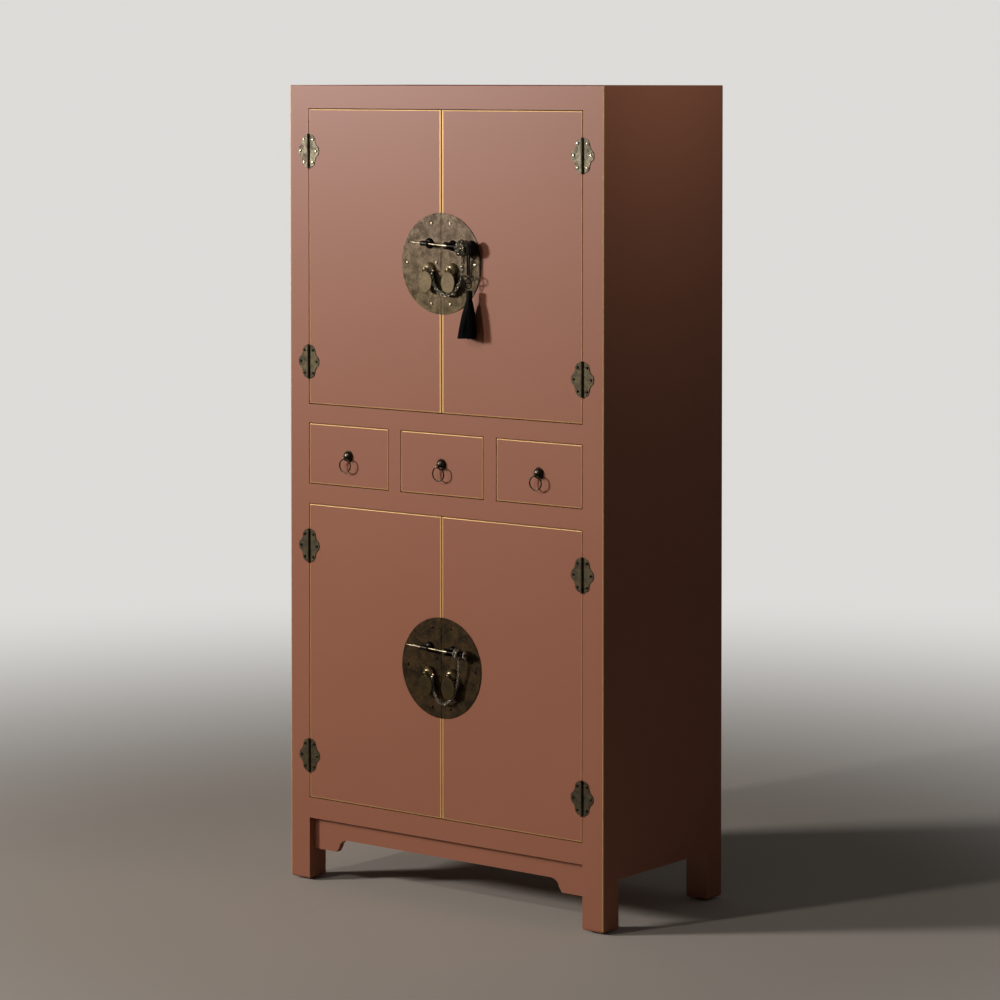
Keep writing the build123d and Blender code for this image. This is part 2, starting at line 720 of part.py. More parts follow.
# ================================================================ drawers
drawer_mid_z = (z_drawer + z_above) / 2
ring_axis_z = drawer_mid_z - pull_eye_drop
for name, x_mid in drawer_places.items():
    front_half = drawer_opening_width / 2 - door_gap
    box_half = drawer_opening_width / 2 - drawer_inset
    box_foot = z_drawer + slide_clearance
    box_back = front + drawer_length
    with BuildPart() as drawer_front:
        block((x_mid - front_half, x_mid + front_half), (front, front + door),
              (z_drawer + door_gap, z_above - door_gap))
        fillet(drawer_front.faces().sort_by(Axis.Y)[0].edges(), edge_round)
    save(drawer_front, f"{name}_drawer_front")

    with BuildPart() as drawer_box:
        z_sides = (box_foot, box_foot + drawer_side_height)
        for side in sides.values():
            block((x_mid + side * (box_half - drawer_side), x_mid + side * box_half),
                  (front + door, box_back), z_sides)
        block((x_mid - box_half + drawer_side, x_mid + box_half - drawer_side),
              (box_back - drawer_side, box_back), z_sides)
        bottom_foot = box_foot + drawer_bottom_rise
        block((x_mid - box_half + drawer_side, x_mid + box_half - drawer_side),
              (front + door, box_back - drawer_side), (bottom_foot, bottom_foot + drawer_bottom))
    save(drawer_box, f"{name}_drawer_box")

    with BuildPart() as pull_post:
        with BuildSketch(face_plane(0)):
            with Locations((x_mid, drawer_mid_z)):
                Circle(pull_base_radius)
        extrude(amount=pull_base)
        with BuildSketch(Plane.YZ.offset(x_mid)):
            with Locations((front - pull_base, drawer_mid_z)):
                Ellipse(pull_height, pull_radius)
            with Locations((front - pull_base - pull_height / 2, drawer_mid_z + pull_radius / 2)):
                Rectangle(pull_height, pull_radius, mode=Mode.INTERSECT)
        revolve(axis=Axis((x_mid, 0, drawer_mid_z), (0, 1, 0)))
        add(dome_post(x_mid, ring_axis_z, pull_base, (pull_eye_radius, pull_height),
                      (pull_eye_radius, pull_eye_standoff), ring_wire + ring_clearance))
    save(pull_post, f"{name}_pull_post")

    with BuildPart() as ring_pull:
        with BuildSketch(Plane.YZ.offset(x_mid)):
            with Locations((front - pull_eye_standoff, ring_axis_z)):
                Circle(ring_wire)
        revolve(axis=Axis((x_mid, 0, ring_axis_z - ring_radius), (0, 1, 0)))
    save(ring_pull, f"{name}_ring")
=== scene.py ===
# %% [markdown]
# A tall lacquered cabinet with brass fittings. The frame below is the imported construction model:
# every board, door, hinge, plate, post and pin is already in place, in metres, and rides on its
# own body. This script gives each surface its finish and makes what is too fine for the
# construction model: chain links, silk cords, a tassel and the flower head of a lock pin.

# %% load the frame
import math
import random
import bpy
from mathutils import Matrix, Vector


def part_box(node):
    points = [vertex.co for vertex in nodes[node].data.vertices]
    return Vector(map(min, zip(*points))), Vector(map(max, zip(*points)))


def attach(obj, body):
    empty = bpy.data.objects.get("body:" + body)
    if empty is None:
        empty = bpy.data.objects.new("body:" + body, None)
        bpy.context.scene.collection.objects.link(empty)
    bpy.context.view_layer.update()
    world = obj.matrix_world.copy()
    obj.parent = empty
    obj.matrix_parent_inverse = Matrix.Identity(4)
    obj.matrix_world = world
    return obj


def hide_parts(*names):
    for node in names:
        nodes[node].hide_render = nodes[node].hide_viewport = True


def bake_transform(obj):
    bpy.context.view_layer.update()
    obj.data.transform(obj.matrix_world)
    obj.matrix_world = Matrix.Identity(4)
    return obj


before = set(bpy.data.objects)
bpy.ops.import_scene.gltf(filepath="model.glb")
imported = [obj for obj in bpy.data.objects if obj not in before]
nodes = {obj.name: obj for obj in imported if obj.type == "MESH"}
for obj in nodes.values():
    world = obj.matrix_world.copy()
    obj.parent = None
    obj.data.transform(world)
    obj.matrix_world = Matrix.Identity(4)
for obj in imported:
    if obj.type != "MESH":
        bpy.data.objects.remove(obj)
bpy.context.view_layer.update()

MM = 0.001

# %% [markdown]
# The places that the pieces share are read from the frame, so a piece always sits on what carries
# it: the plane of the front, and the height of each pair of lock plates.

# %% places read from the frame
FACE_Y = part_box("front_posts")[0].y
LEVELS = ("upper", "lower")
SIDES = ("left", "right")
DRAWERS = ("left", "middle", "right")
PLATE_Z = {}
for level in LEVELS:
    plate_low, plate_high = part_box(f"{level}_left_lock_plate")
    PLATE_Z[level] = (plate_low.z + plate_high.z) / 2
    print(level, "lock plate centre at z", round(PLATE_Z[level], 4))

# %% [markdown]
# The camera stands to the right of the front, level with its top, with a long lens. It looks
# almost level and its lens is shifted down, as with a view camera, so the uprights stay parallel.

# %% camera
LENS_MM, SENSOR_MM, LENS_SHIFT = 125.335, 36.0, -0.30785
CAMERA_X, CAMERA_AHEAD, CAMERA_Z = 4.78521, 5.89018, 1.81939
CAMERA_YAW, CAMERA_PITCH = 38.1266, 1.9044      # degrees
CLIP_END = 50.0
camera_data = bpy.data.cameras.new("camera")
camera_data.lens = LENS_MM
camera_data.shift_y = LENS_SHIFT
camera_data.sensor_width = SENSOR_MM
camera_data.clip_end = CLIP_END
camera = bpy.data.objects.new("camera", camera_data)
camera.location = (CAMERA_X, FACE_Y - CAMERA_AHEAD, CAMERA_Z)
camera.rotation_euler = (math.radians(90 - CAMERA_PITCH), 0, math.radians(CAMERA_YAW))
bpy.context.scene.collection.objects.link(camera)
bpy.context.scene.camera = camera
bpy.context.scene.view_settings.view_transform = "Standard"
print("camera at", tuple(round(c, 3) for c in camera.location))

# %% [markdown]
# **Light.** A key light stands far to the left of the front, so the pulls throw their shadows to
# the right and the right side of the case falls into shade. Its beam is narrow and aimed high, so
# the front is brightest at the top and darker towards the legs. A small glint light above the
# front puts sparks on the brass, and a weak top light opens the upper part of the shaded side.

# %% lights
# Each light is its place, its target, size in m, power in W, colour and spread in degrees.
LIGHTS = {
    "key_light": ((-5.76, FACE_Y - 5.55, 3.0), (1.0, FACE_Y, 2.1), 1.3, 138.0,
                  (1.0, 0.98, 0.96), 80.0),
    "glint_light": ((-1.7, FACE_Y - 5.0, 4.3), (0.0, FACE_Y, 1.2), 0.4, 9.0,
                    (1.0, 0.98, 0.95), 60.0),
    "top_light": ((1.7, 0.0, 2.7), (0.44, 0.0, 2.0), 0.5, 1.1, (1.0, 0.97, 0.94), 50.0),
}
for name, (place, target, size, power, colour, spread) in LIGHTS.items():
    lamp = bpy.data.lights.new(name, "AREA")
    lamp.shape = "DISK"
    lamp.size = size
    lamp.energy = power
    lamp.color = colour
    lamp.spread = math.radians(spread)
    stand = bpy.data.objects.new(name, lamp)
    stand.location = place
    aim = Vector(target) - Vector(place)
    stand.rotation_euler = aim.to_track_quat("-Z", "Y").to_euler()
    bpy.context.scene.collection.objects.link(stand)
    print(name, "at", tuple(round(c, 2) for c in place), "with", power, "W")

# %% [markdown]
# **Helpers.** Every material and every grown piece below is a tree of nodes. One small function
# adds a node with its settings and its links, and another turns a written colour into the linear
# one that shaders take.

# %% one small helper for nodes, and two for colours and materials
def add_node(tree, kind, settings=None, inputs=None):
    """Add a node with its settings; each input is a value, or the socket it is linked from."""
    made = tree.nodes.new(kind)
    for name, value in (settings or {}).items():
        setattr(made, name, value)
    for key, value in (inputs or {}).items():
        if isinstance(value, bpy.types.NodeSocket):
            tree.links.new(value, made.inputs[key])
        else:
            made.inputs[key].default_value = value
    return made


def tone(code):
    """Turn an sRGB hex colour into the linear RGBA that shaders take."""
    channels = [int(code[place:place + 2], 16) / 255 for place in (1, 3, 5)]
    linear = [c / 12.92 if c <= 0.04045 else ((c + 0.055) / 1.055) ** 2.4 for c in channels]
    return (*linear, 1.0)


def new_material(name):
    """An empty node material; returns it and its tree."""
    material = bpy.data.materials.new(name)
    material.use_nodes = True
    material.node_tree.nodes.clear()
    return material, material.node_tree


print("a mid grey, #808080, is", round(tone("#808080")[0], 4), "in linear light")

# %% [markdown]
# **Floor.** A wide matt floor takes the cabinet's shadow. Away from the cabinet it fades, for the
# camera alone, into the pale tone of the surround, as a studio's paper sweep does.

# %% floor
FLOOR_HALF = 12.0
FADE_START, FADE_END = 0.9, 4.5     # metres from the middle of the cabinet
PALE_TONE = "#F4F2EF"
PALE = 0.80                         # how strongly the pale tone is shown
floor_corners = [(x * FLOOR_HALF, y * FLOOR_HALF, 0)
                 for x, y in ((-1, -1), (1, -1), (1, 1), (-1, 1))]
floor_mesh = bpy.data.meshes.new("floor")
floor_mesh.from_pydata(floor_corners, [], [(0, 1, 2, 3)])
floor = bpy.data.objects.new("floor", floor_mesh)
bpy.context.scene.collection.objects.link(floor)
floor_material, tree = new_material("matt_pale_floor")
floor_shader = add_node(tree, "ShaderNodeBsdfPrincipled", inputs={
    "Base Color": tone("#B5ABA0"), "Roughness": 0.85})
spot = add_node(tree, "ShaderNodeTexCoord").outputs["Object"]
far = add_node(tree, "ShaderNodeVectorMath", {"operation": "LENGTH"}, {0: spot}).outputs["Value"]
fade = add_node(tree, "ShaderNodeMapRange", {"interpolation_type": "SMOOTHSTEP"}, {
    "Value": far, "From Min": FADE_START, "From Max": FADE_END}).outputs[0]
looked_at = add_node(tree, "ShaderNodeLightPath").outputs["Is Camera Ray"]
share = add_node(tree, "ShaderNodeMath", {"operation": "MULTIPLY"}, {
    0: fade, 1: looked_at}).outputs[0]
sweep = add_node(tree, "ShaderNodeEmission", inputs={"Color": tone(PALE_TONE), "Strength": PALE})
blended = add_node(tree, "ShaderNodeMixShader", inputs={
    0: share, 1: floor_shader.outputs["BSDF"], 2: sweep.outputs[0]})
add_node(tree, "ShaderNodeOutputMaterial", inputs={"Surface": blended.outputs[0]})
floor_mesh.materials.append(floor_material)
print("floor of", 2 * FLOOR_HALF, "m, fading from", FADE_START, "to", FADE_END, "m")

# %% [markdown]
# **Surround.** The surround is pale to the camera, faint in reflections and dim to everything
# else, so it is a light background that adds only a little light to the cabinet.

# %% surround
DIM = 0.08                          # what lights the cabinet
MIRRORED = 0.06                     # the share of the pale tone that reflections show
surround = bpy.data.worlds.new("surround")
bpy.context.scene.world = surround
surround.use_nodes = True
tree = surround.node_tree
tree.nodes.clear()
seen = add_node(tree, "ShaderNodeLightPath")
mirrored = add_node(tree, "ShaderNodeMath", {"operation": "MULTIPLY"}, {
    0: seen.outputs["Is Glossy Ray"], 1: MIRRORED})
shown = add_node(tree, "ShaderNodeMath", {"operation": "MAXIMUM"}, {
    0: seen.outputs["Is Camera Ray"], 1: mirrored.outputs[0]})
strength = add_node(tree, "ShaderNodeMapRange", inputs={
    "Value": shown.outputs[0], "To Min": DIM, "To Max": PALE})
glow = add_node(tree, "ShaderNodeBackground", inputs={
    "Color": tone(PALE_TONE), "Strength": strength.outputs[0]})
add_node(tree, "ShaderNodeOutputWorld", inputs={"Surface": glow.outputs["Background"]})
print("surround from", DIM, "to", PALE)

# %% [markdown]
# **Gilding.** The eased edges of the doors, drawers and corner posts are painted by hand with
# gold. Thin strips of mesh would do, but they would stand off the eased edges, so the gold is a
# mask instead: it is worked out from the distance to the edges of each board, and a slow noise
# makes the painted line waver a little.

# %% the gold mask
GILD_MM = 2.2               # painted width on most edges
MEETING_GILD_MM = {"upper": 4.6, "lower": 3.6}      # where the two doors of a pair meet
WAVER_MM = 9                # spacing of the waver in the painted line
GILD_FROM, GILD_TO = 0.8, 1.2       # the width wavers between these shares of itself


def gold_mask(tree, place, centre, half, front_y):
    """A mask that is 1 near the four edges of a board's front; half is the board's half size."""
    away = add_node(tree, "ShaderNodeVectorMath", {"operation": "SUBTRACT"}, {0: place, 1: centre})
    apart = add_node(tree, "ShaderNodeVectorMath", {"operation": "ABSOLUTE"}, {
        0: away.outputs[0]})
    inset = add_node(tree, "ShaderNodeVectorMath", {"operation": "SUBTRACT"}, {
        0: half, 1: apart.outputs[0]})
    split = add_node(tree, "ShaderNodeSeparateXYZ", inputs={0: inset.outputs[0]})
    nearest = add_node(tree, "ShaderNodeMath", {"operation": "MINIMUM"}, {
        0: split.outputs["X"], 1: split.outputs["Z"]})
    waver = add_node(tree, "ShaderNodeTexNoise", inputs={
        "Vector": place, "Scale": 1 / (WAVER_MM * MM)})
    edge = add_node(tree, "ShaderNodeMapRange", inputs={
        "Value": waver.outputs["Fac"],
        "To Min": GILD_FROM * GILD_MM * MM, "To Max": GILD_TO * GILD_MM * MM})
    near_side = add_node(tree, "ShaderNodeMath", {"operation": "LESS_THAN"}, {
        0: nearest.outputs[0], 1: edge.outputs[0]})
    whole = add_node(tree, "ShaderNodeSeparateXYZ", inputs={0: place})
    near_face = add_node(tree, "ShaderNodeMath", {"operation": "LESS_THAN"}, {
        0: whole.outputs["Y"], 1: front_y + GILD_MM * MM})
    return add_node(tree, "ShaderNodeMath", {"operation": "MULTIPLY"}, {
        0: near_side.outputs[0], 1: near_face.outputs[0]}).outputs[0]


print("gold edges are", GILD_MM, "mm wide, and more where two doors meet")

# %% [markdown]
# **Lacquer.** The case is wood sprayed with a satin rose-brown lacquer. Spraying leaves a very
# fine orange-peel ripple and no brush marks, so the colour is almost even and the gloss is soft.

# %% lacquer
PEEL_MM = 2.5               # ripple spacing, drawn as coarse as it can show
CLOUD_MM = 420.0            # slow drift in tone from one spray pass to the next
SATIN_FROM, SATIN_TO = 0.36, 0.44       # roughness
LACQUER_LIGHT, LACQUER_DARK = "#915C45", "#8B5740"
GOLD, GOLD_ROUGH, GOLD_METAL = "#C79C62", 0.42, 0.2     # gold paint, so hardly a metal


def lacquer(name, gild=None):
    """Satin lacquer; gild is (centre, half size, y of the front) of a board with gold edges."""
    material, tree = new_material(name)
    place = add_node(tree, "ShaderNodeTexCoord").outputs["Object"]
    cloud = add_node(tree, "ShaderNodeTexNoise", inputs={
        "Vector": place, "Scale": 1 / (CLOUD_MM * MM), "Detail": 3.0})
    body = add_node(tree, "ShaderNodeMix", {"data_type": "RGBA"}, {
        "Factor": cloud.outputs["Fac"], 6: tone(LACQUER_DARK), 7: tone(LACQUER_LIGHT)}).outputs[2]
    rough = add_node(tree, "ShaderNodeMapRange", inputs={
        "Value": cloud.outputs["Fac"], "To Min": SATIN_FROM, "To Max": SATIN_TO}).outputs[0]
    peel = add_node(tree, "ShaderNodeTexNoise", inputs={
        "Vector": place, "Scale": 1 / (PEEL_MM * MM), "Detail": 2.0})
    bump = add_node(tree, "ShaderNodeBump", inputs={
        "Height": peel.outputs["Fac"], "Strength": 0.05, "Distance": 0.0004})
    metal = 0.0
    if gild:
        gilded = gold_mask(tree, place, *gild)
        body = add_node(tree, "ShaderNodeMix", {"data_type": "RGBA"}, {
            "Factor": gilded, 6: body, 7: tone(GOLD)}).outputs[2]
        rough = add_node(tree, "ShaderNodeMix", {"data_type": "FLOAT"}, {
            "Factor": gilded, 2: rough, 3: GOLD_ROUGH}).outputs[0]
        metal = add_node(tree, "ShaderNodeMath", {"operation": "MULTIPLY"}, {
            0: gilded, 1: GOLD_METAL}).outputs[0]
    shader = add_node(tree, "ShaderNodeBsdfPrincipled", inputs={
        "Base Color": body, "Roughness": rough, "Normal": bump.outputs[0], "IOR": 1.5,
        "Specular IOR Level": 0.25, "Metallic": metal})
    add_node(tree, "ShaderNodeOutputMaterial", inputs={"Surface": shader.outputs["BSDF"]})
    return material


print("satin lacquer from", LACQUER_DARK, "to", LACQUER_LIGHT)

# %% [markdown]
# The pieces of the construction model come with a plain material. A finish is given to them by
# name, so each piece keeps its shape, its place and its body.

# %% give pieces a finish
def finish_with(material, *names):
    """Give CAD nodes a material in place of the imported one."""
    for name in names:
        slots = nodes[name].material_slots
        if not slots:
            nodes[name].data.materials.append(material)
        for place in slots:
            place.material = material


finish_with(lacquer("sprayed_satin_lacquer"), "front_rails", "drawer_dividers", "apron",
            "back_posts", "left_side_panel", "right_side_panel", "top_board", "back_rails")
print("lacquer on the case")

# %% lacquer with gold edges
boards = [f"{level}_{side}_door" for level in LEVELS for side in SIDES]
boards += [f"{name}_drawer_front" for name in DRAWERS]
for board in boards:
    low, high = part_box(board)
    level, side = board.split("_")[:2]
    if level in LEVELS:
        # The band is wider where two doors meet, so the mask's box ends short of that edge.
        wider = (MEETING_GILD_MM[level] - GILD_MM) * MM
        low.x, high.x = (low.x, high.x - wider) if side == "left" else (low.x + wider, high.x)
    edges = ((low + high) / 2, (high - low) / 2, low.y)
    finish_with(lacquer(f"gilt_edged_{board}", edges), board)

# On the posts only the outer corner is gilded, so the mask's box reaches far above and below.
low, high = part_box("front_posts")
reach = Vector((0, 0, 10))
post_edges = ((low + high) / 2, (high - low) / 2 + reach, low.y)
finish_with(lacquer("gilt_cornered_posts", post_edges), "front_posts")
print("lacquer on", len(boards), "gilt-edged boards")

# %% [markdown]
# ** Brass.** The fittings are cast and rolled brass, darkened with a chemical patina and then
# rubbed, so high places are bright and the rest is mottled olive brown. One function makes them
# all: a broad cloud and a fine grain choose between a dark and a light tone, and the same pattern
# makes the dark places rougher. A piece may be blackened past a place, or be darker lower down;
# that darkening is painted shade.

# %% aged brass
BLACKENED = "#1B1714"
GRAIN_SHARE = 0.45                      # how much of the mottle is fine grain
MOTTLE_FROM, MOTTLE_TO = 0.36, 0.64     # the part of the mottle that goes from dark to light
PATINA_DEPTH = 0.0006


def aged_brass(name, light, dark, mottle_mm, rough, metallic, relief=0.15,
               black_beyond=None, painted_shade_below=None):
    """Patinated brass, mottled from dark to light.

    mottle_mm is the spacing of the cloud and of the grain, and rough the roughness of the light
    and of the dark places. black_beyond is (axis, limit in metres): past it the brass is
    blackened. painted_shade_below is (height, height, light, dark): between the heights its
    tones give way to these, downwards; this is painted shade, not a change in the brass.
    """
    cloud_mm, grain_mm = mottle_mm
    material, tree = new_material(name)
    place = add_node(tree, "ShaderNodeTexCoord").outputs["Object"]
    cloud = add_node(tree, "ShaderNodeTexNoise", inputs={
        "Vector": place, "Scale": 1 / (cloud_mm * MM), "Detail": 6.0, "Roughness": 0.65})
    grain = add_node(tree, "ShaderNodeTexNoise", inputs={
        "Vector": place, "Scale": 1 / (grain_mm * MM), "Detail": 4.0, "Roughness": 0.7})
    both = add_node(tree, "ShaderNodeMix", {"data_type": "FLOAT"}, {
        "Factor": GRAIN_SHARE, 2: cloud.outputs["Fac"], 3: grain.outputs["Fac"]}).outputs[0]
    patch = add_node(tree, "ShaderNodeMapRange", {"interpolation_type": "SMOOTHSTEP"}, {
        "Value": both, "From Min": MOTTLE_FROM, "From Max": MOTTLE_TO}).outputs[0]
    colour = add_node(tree, "ShaderNodeMix", {"data_type": "RGBA"}, {
        "Factor": patch, 6: tone(dark), 7: tone(light)}).outputs[2]
    roughness = add_node(tree, "ShaderNodeMapRange", inputs={
        "Value": patch, "To Min": rough[1], "To Max": rough[0]}).outputs[0]
    parts = add_node(tree, "ShaderNodeSeparateXYZ", inputs={0: place})
    # Painted shade: lower down, the tones give way to darker ones.
    if painted_shade_below:
        foot, head, low_light, low_dark = painted_shade_below
        risen = add_node(tree, "ShaderNodeMapRange", {"interpolation_type": "SMOOTHSTEP"}, {
            "Value": parts.outputs["Z"], "From Min": foot, "From Max": head}).outputs[0]
        below = add_node(tree, "ShaderNodeMix", {"data_type": "RGBA"}, {
            "Factor": patch, 6: tone(low_dark), 7: tone(low_light)}).outputs[2]
        colour = add_node(tree, "ShaderNodeMix", {"data_type": "RGBA"}, {
            "Factor": risen, 6: below, 7: colour}).outputs[2]
    if black_beyond:
        axis, limit = black_beyond
        blackened = add_node(tree, "ShaderNodeMath", {"operation": "GREATER_THAN"}, {
            0: parts.outputs[axis], 1: limit}).outputs[0]
        colour = add_node(tree, "ShaderNodeMix", {"data_type": "RGBA"}, {
            "Factor": blackened, 6: colour, 7: tone(BLACKENED)}).outputs[2]
    bump = add_node(tree, "ShaderNodeBump", inputs={
        "Height": grain.outputs["Fac"], "Strength": relief, "Distance": PATINA_DEPTH})
    shader = add_node(tree, "ShaderNodeBsdfPrincipled", inputs={
        "Base Color": colour, "Metallic": metallic, "Roughness": roughness,
        "Normal": bump.outputs[0]})
    add_node(tree, "ShaderNodeOutputMaterial", inputs={"Surface": shader.outputs["BSDF"]})
    return material


print("brass is blackened to", BLACKENED)

# %% sheet brass: rolled, then left to darken, so the plates and hinges are dull and mottled
# Painted shade: the upper plates and the hinges are darker lower down, where less light falls.
PLATE_SHADE_REACH = 0.1            # the upper plates darken from this far above to this far below centre
HINGE_SHADE_HEIGHTS = (1.25, 1.55)   # the hinges darken between these heights
plate_brass = aged_brass(
    "patinated_sheet_brass", "#5A4C3E", "#33291D", mottle_mm=(13, 2.2), rough=(0.42, 0.58),
    metallic=0.85, relief=0.5,
    painted_shade_below=(PLATE_Z["upper"] - PLATE_SHADE_REACH, PLATE_Z["upper"] + PLATE_SHADE_REACH,
                "#50432E", "#2D2516"))
# Painted shade: the lower plates are the same patinated brass, darker because the lower lock gets
# less light.
shaded_lower_plate_brass = aged_brass(
    "shaded_patinated_sheet_brass", "#3E2E18", "#150F06", mottle_mm=(26, 3.2), rough=(0.5, 0.65),
    metallic=0.9)
hinge_brass = aged_brass(
    "hinge_leaf_brass", "#6B624E", "#2B251B", mottle_mm=(14, 2.4), rough=(0.38, 0.6), metallic=0.7,
    painted_shade_below=(*HINGE_SHADE_HEIGHTS, "#54492F", "#221C13"))
black_brass = aged_brass(
    "blackened_hinge_pin_brass", "#1E1A16", "#0A0908", mottle_mm=(10, 2), rough=(0.4, 0.6),
    metallic=0.6)
for side in SIDES:
    finish_with(plate_brass, f"upper_{side}_lock_plate")
    finish_with(shaded_lower_plate_brass, f"lower_{side}_lock_plate")
    for level in LEVELS:
        finish_with(hinge_brass, f"{level}_{side}_hinge_leaves")
finish_with(hinge_brass, "frame_hinge_leaves")
finish_with(black_brass, "hinge_pins")
print("sheet brass on the plates and hinges")

# %% cast and drawn brass: smooth from handling, so the pulls, rings and studs are glossier
SMOOTH = 0.05               # relief of a polished casting
PULL = {"mottle_mm": (22, 3), "rough": (0.36, 0.46), "metallic": 0.85, "relief": SMOOTH}
pull_brass = aged_brass("smooth_pull_brass", "#5A4D37", "#3F3526", **PULL)
# Painted shade: the lower drops are the same brass as the upper ones, in darker tones.
shaded_lower_pull_brass = aged_brass("shaded_smooth_pull_brass", "#43361A", "#261D0E", **PULL)
ring_brass = aged_brass(
    "dark_ring_brass", "#544A3C", "#17120D", mottle_mm=(12, 1.6), rough=(0.24, 0.42),
    metallic=0.9, relief=0.1)
chain_brass = aged_brass(
    "dark_chain_brass", "#C4B9A4", "#14100C", mottle_mm=(3, 1.0), rough=(0.22, 0.4),
    metallic=0.9, relief=0.1)
SHADED_STUD = ("#3A3022", "#15110B")
STUD_SHADE_HEIGHTS = (1.22, 1.26)    # studs above these heights are painted lit, and those below painted shaded
STUD = {"mottle_mm": (9, 1.5), "metallic": 0.9, "relief": SMOOTH}
# Painted light: the pale stud tone is partly a painted highlight, and below the heights the studs
# take painted shade.
stud_brass = aged_brass("lit_and_shaded_stud_brass", "#DCCDB0", "#8B7A5C", rough=(0.25, 0.4), **STUD,
                        painted_shade_below=(*STUD_SHADE_HEIGHTS, *SHADED_STUD))
shaded_stud_brass = aged_brass("shaded_stud_brass", *SHADED_STUD, rough=(0.3, 0.45), **STUD)
for side in SIDES:
    finish_with(pull_brass, f"upper_{side}_drop")
    finish_with(shaded_lower_pull_brass, f"lower_{side}_drop")
    finish_with(stud_brass, f"upper_{side}_studs")
    finish_with(shaded_stud_brass, f"lower_{side}_studs")
finish_with(stud_brass, "frame_studs")
for name in DRAWERS:
    finish_with(ring_brass, f"{name}_pull_post", f"{name}_ring")
print("cast brass on the pulls, rings and studs")

# %% turned brass: the lock posts and pins, rubbed bright by hands
PIN_BODY_X = 0.031          # right of this a pin is its head, and black
POST_SPLIT = 0.02           # above this height over a plate's centre the posts are black eyes
# Painted shade: the lower posts' tones are a darker copy of the upper ones.
POST_TONES = {"upper": ("#C8B793", "#94815F"), "lower": ("#A8946C", "#4A3B26")}
POST_ROUGH = {"upper": (0.3, 0.36), "lower": (0.27, 0.33)}
POST_METAL = {"upper": 0.85, "lower": 0.9}
for level in LEVELS:
    post_brass = aged_brass(
        f"{level}_turned_brass", *POST_TONES[level], mottle_mm=(16, 2), rough=POST_ROUGH[level],
        metallic=POST_METAL[level], relief=SMOOTH,
        black_beyond=("Z", PLATE_Z[level] + POST_SPLIT))
    pin_brass = aged_brass(
        f"{level}_worn_pin_brass", "#9C917A", "#6A5F48", mottle_mm=(12, 2), rough=(0.3, 0.42),
        metallic=1.0, relief=SMOOTH, black_beyond=("X", PIN_BODY_X))
    finish_with(pin_brass, f"{level}_lock_pin")
    for side in SIDES:
        finish_with(post_brass, f"{level}_{side}_lock_posts")
print("turned brass on the posts and pins")

# %% [markdown]
# **Bare wood.** Inside, the shelves, decks, back and drawer boxes are plain elm boards with an
# oiled brown finish. Oil leaves the wood open, so it has little gloss. The grain is a noise that
# is stretched a long way along each board.

# %% oiled wood
GRAIN_MM, RUN_MM = 7.0, 260.0       # spacing of the grain across and along a board


def oiled_wood(name, light, dark, along):
    """Oiled wood whose grain runs along axis 0, 1 or 2."""
    material, tree = new_material(name)
    place = add_node(tree, "ShaderNodeTexCoord").outputs["Object"]
    stretch = [1 / (GRAIN_MM * MM)] * 3
    stretch[along] = 1 / (RUN_MM * MM)
    scaled = add_node(tree, "ShaderNodeVectorMath", {"operation": "MULTIPLY"}, {
        0: place, 1: stretch})
    grain = add_node(tree, "ShaderNodeTexNoise", inputs={
        "Vector": scaled.outputs[0], "Scale": 1.0, "Detail": 6.0, "Roughness": 0.6,
        "Distortion": 0.6})
    fibre = add_node(tree, "ShaderNodeMapRange", inputs={
        "Value": grain.outputs["Fac"], "From Min": 0.3, "From Max": 0.7}).outputs[0]
    colour = add_node(tree, "ShaderNodeMix", {"data_type": "RGBA"}, {
        "Factor": fibre, 6: tone(dark), 7: tone(light)}).outputs[2]
    bump = add_node(tree, "ShaderNodeBump", inputs={
        "Height": grain.outputs["Fac"], "Strength": 0.2, "Distance": 0.0005})
    shader = add_node(tree, "ShaderNodeBsdfPrincipled", inputs={
        "Base Color": colour, "Roughness": 0.55, "Normal": bump.outputs[0], "IOR": 1.5})
    add_node(tree, "ShaderNodeOutputMaterial", inputs={"Surface": shader.outputs["BSDF"]})
    return material


board_wood = oiled_wood("oiled_elm_boards", "#9B7450", "#6E4B31", 0)
runner_wood = oiled_wood("oiled_elm_runners", "#8C6846", "#62432C", 1)
finish_with(board_wood, "deck_boards", "shelves", "back_panels")
finish_with(runner_wood, "shelf_cleats", "drawer_guides",
            *[f"{name}_drawer_box" for name in DRAWERS])
print("oiled elm inside")

# %% black plastic glides under the legs: moulded, so they are even and slightly dull
glide_material, tree = new_material("moulded_black_glide")
glide_shader = add_node(tree, "ShaderNodeBsdfPrincipled", inputs={
    "Base Color": tone("#15120F"), "Roughness": 0.6})
add_node(tree, "ShaderNodeOutputMaterial", inputs={"Surface": glide_shader.outputs["BSDF"]})
finish_with(glide_material, "glides")
print("black plastic on the glides")

# %% [markdown]
# ** Grown pieces.** Chain links and threads repeat along a line, so each is grown by a Geometry
# Nodes tree on a seed, which is the line. The tree's named inputs are its real sizes. Once grown,
# a piece is kept as one plain mesh.

# %% a tree with named sizes
SOCKETS = {int: "NodeSocketInt", float: "NodeSocketFloat"}


def new_grower(name, **sizes):
    """A geometry node tree with a seed input and one named input for each size."""
    tree = bpy.data.node_groups.new(name, "GeometryNodeTree")
    for way in ("INPUT", "OUTPUT"):
        tree.interface.new_socket("Geometry", in_out=way, socket_type="NodeSocketGeometry")
    for label, value in sizes.items():
        socket = tree.interface.new_socket(label, in_out="INPUT", socket_type=SOCKETS[type(value)])
        socket.default_value = value
    tree.interface.new_socket("material", in_out="INPUT", socket_type="NodeSocketMaterial")
    print(name, "takes", ", ".join(sizes))
    return tree, add_node(tree, "NodeGroupInput").outputs


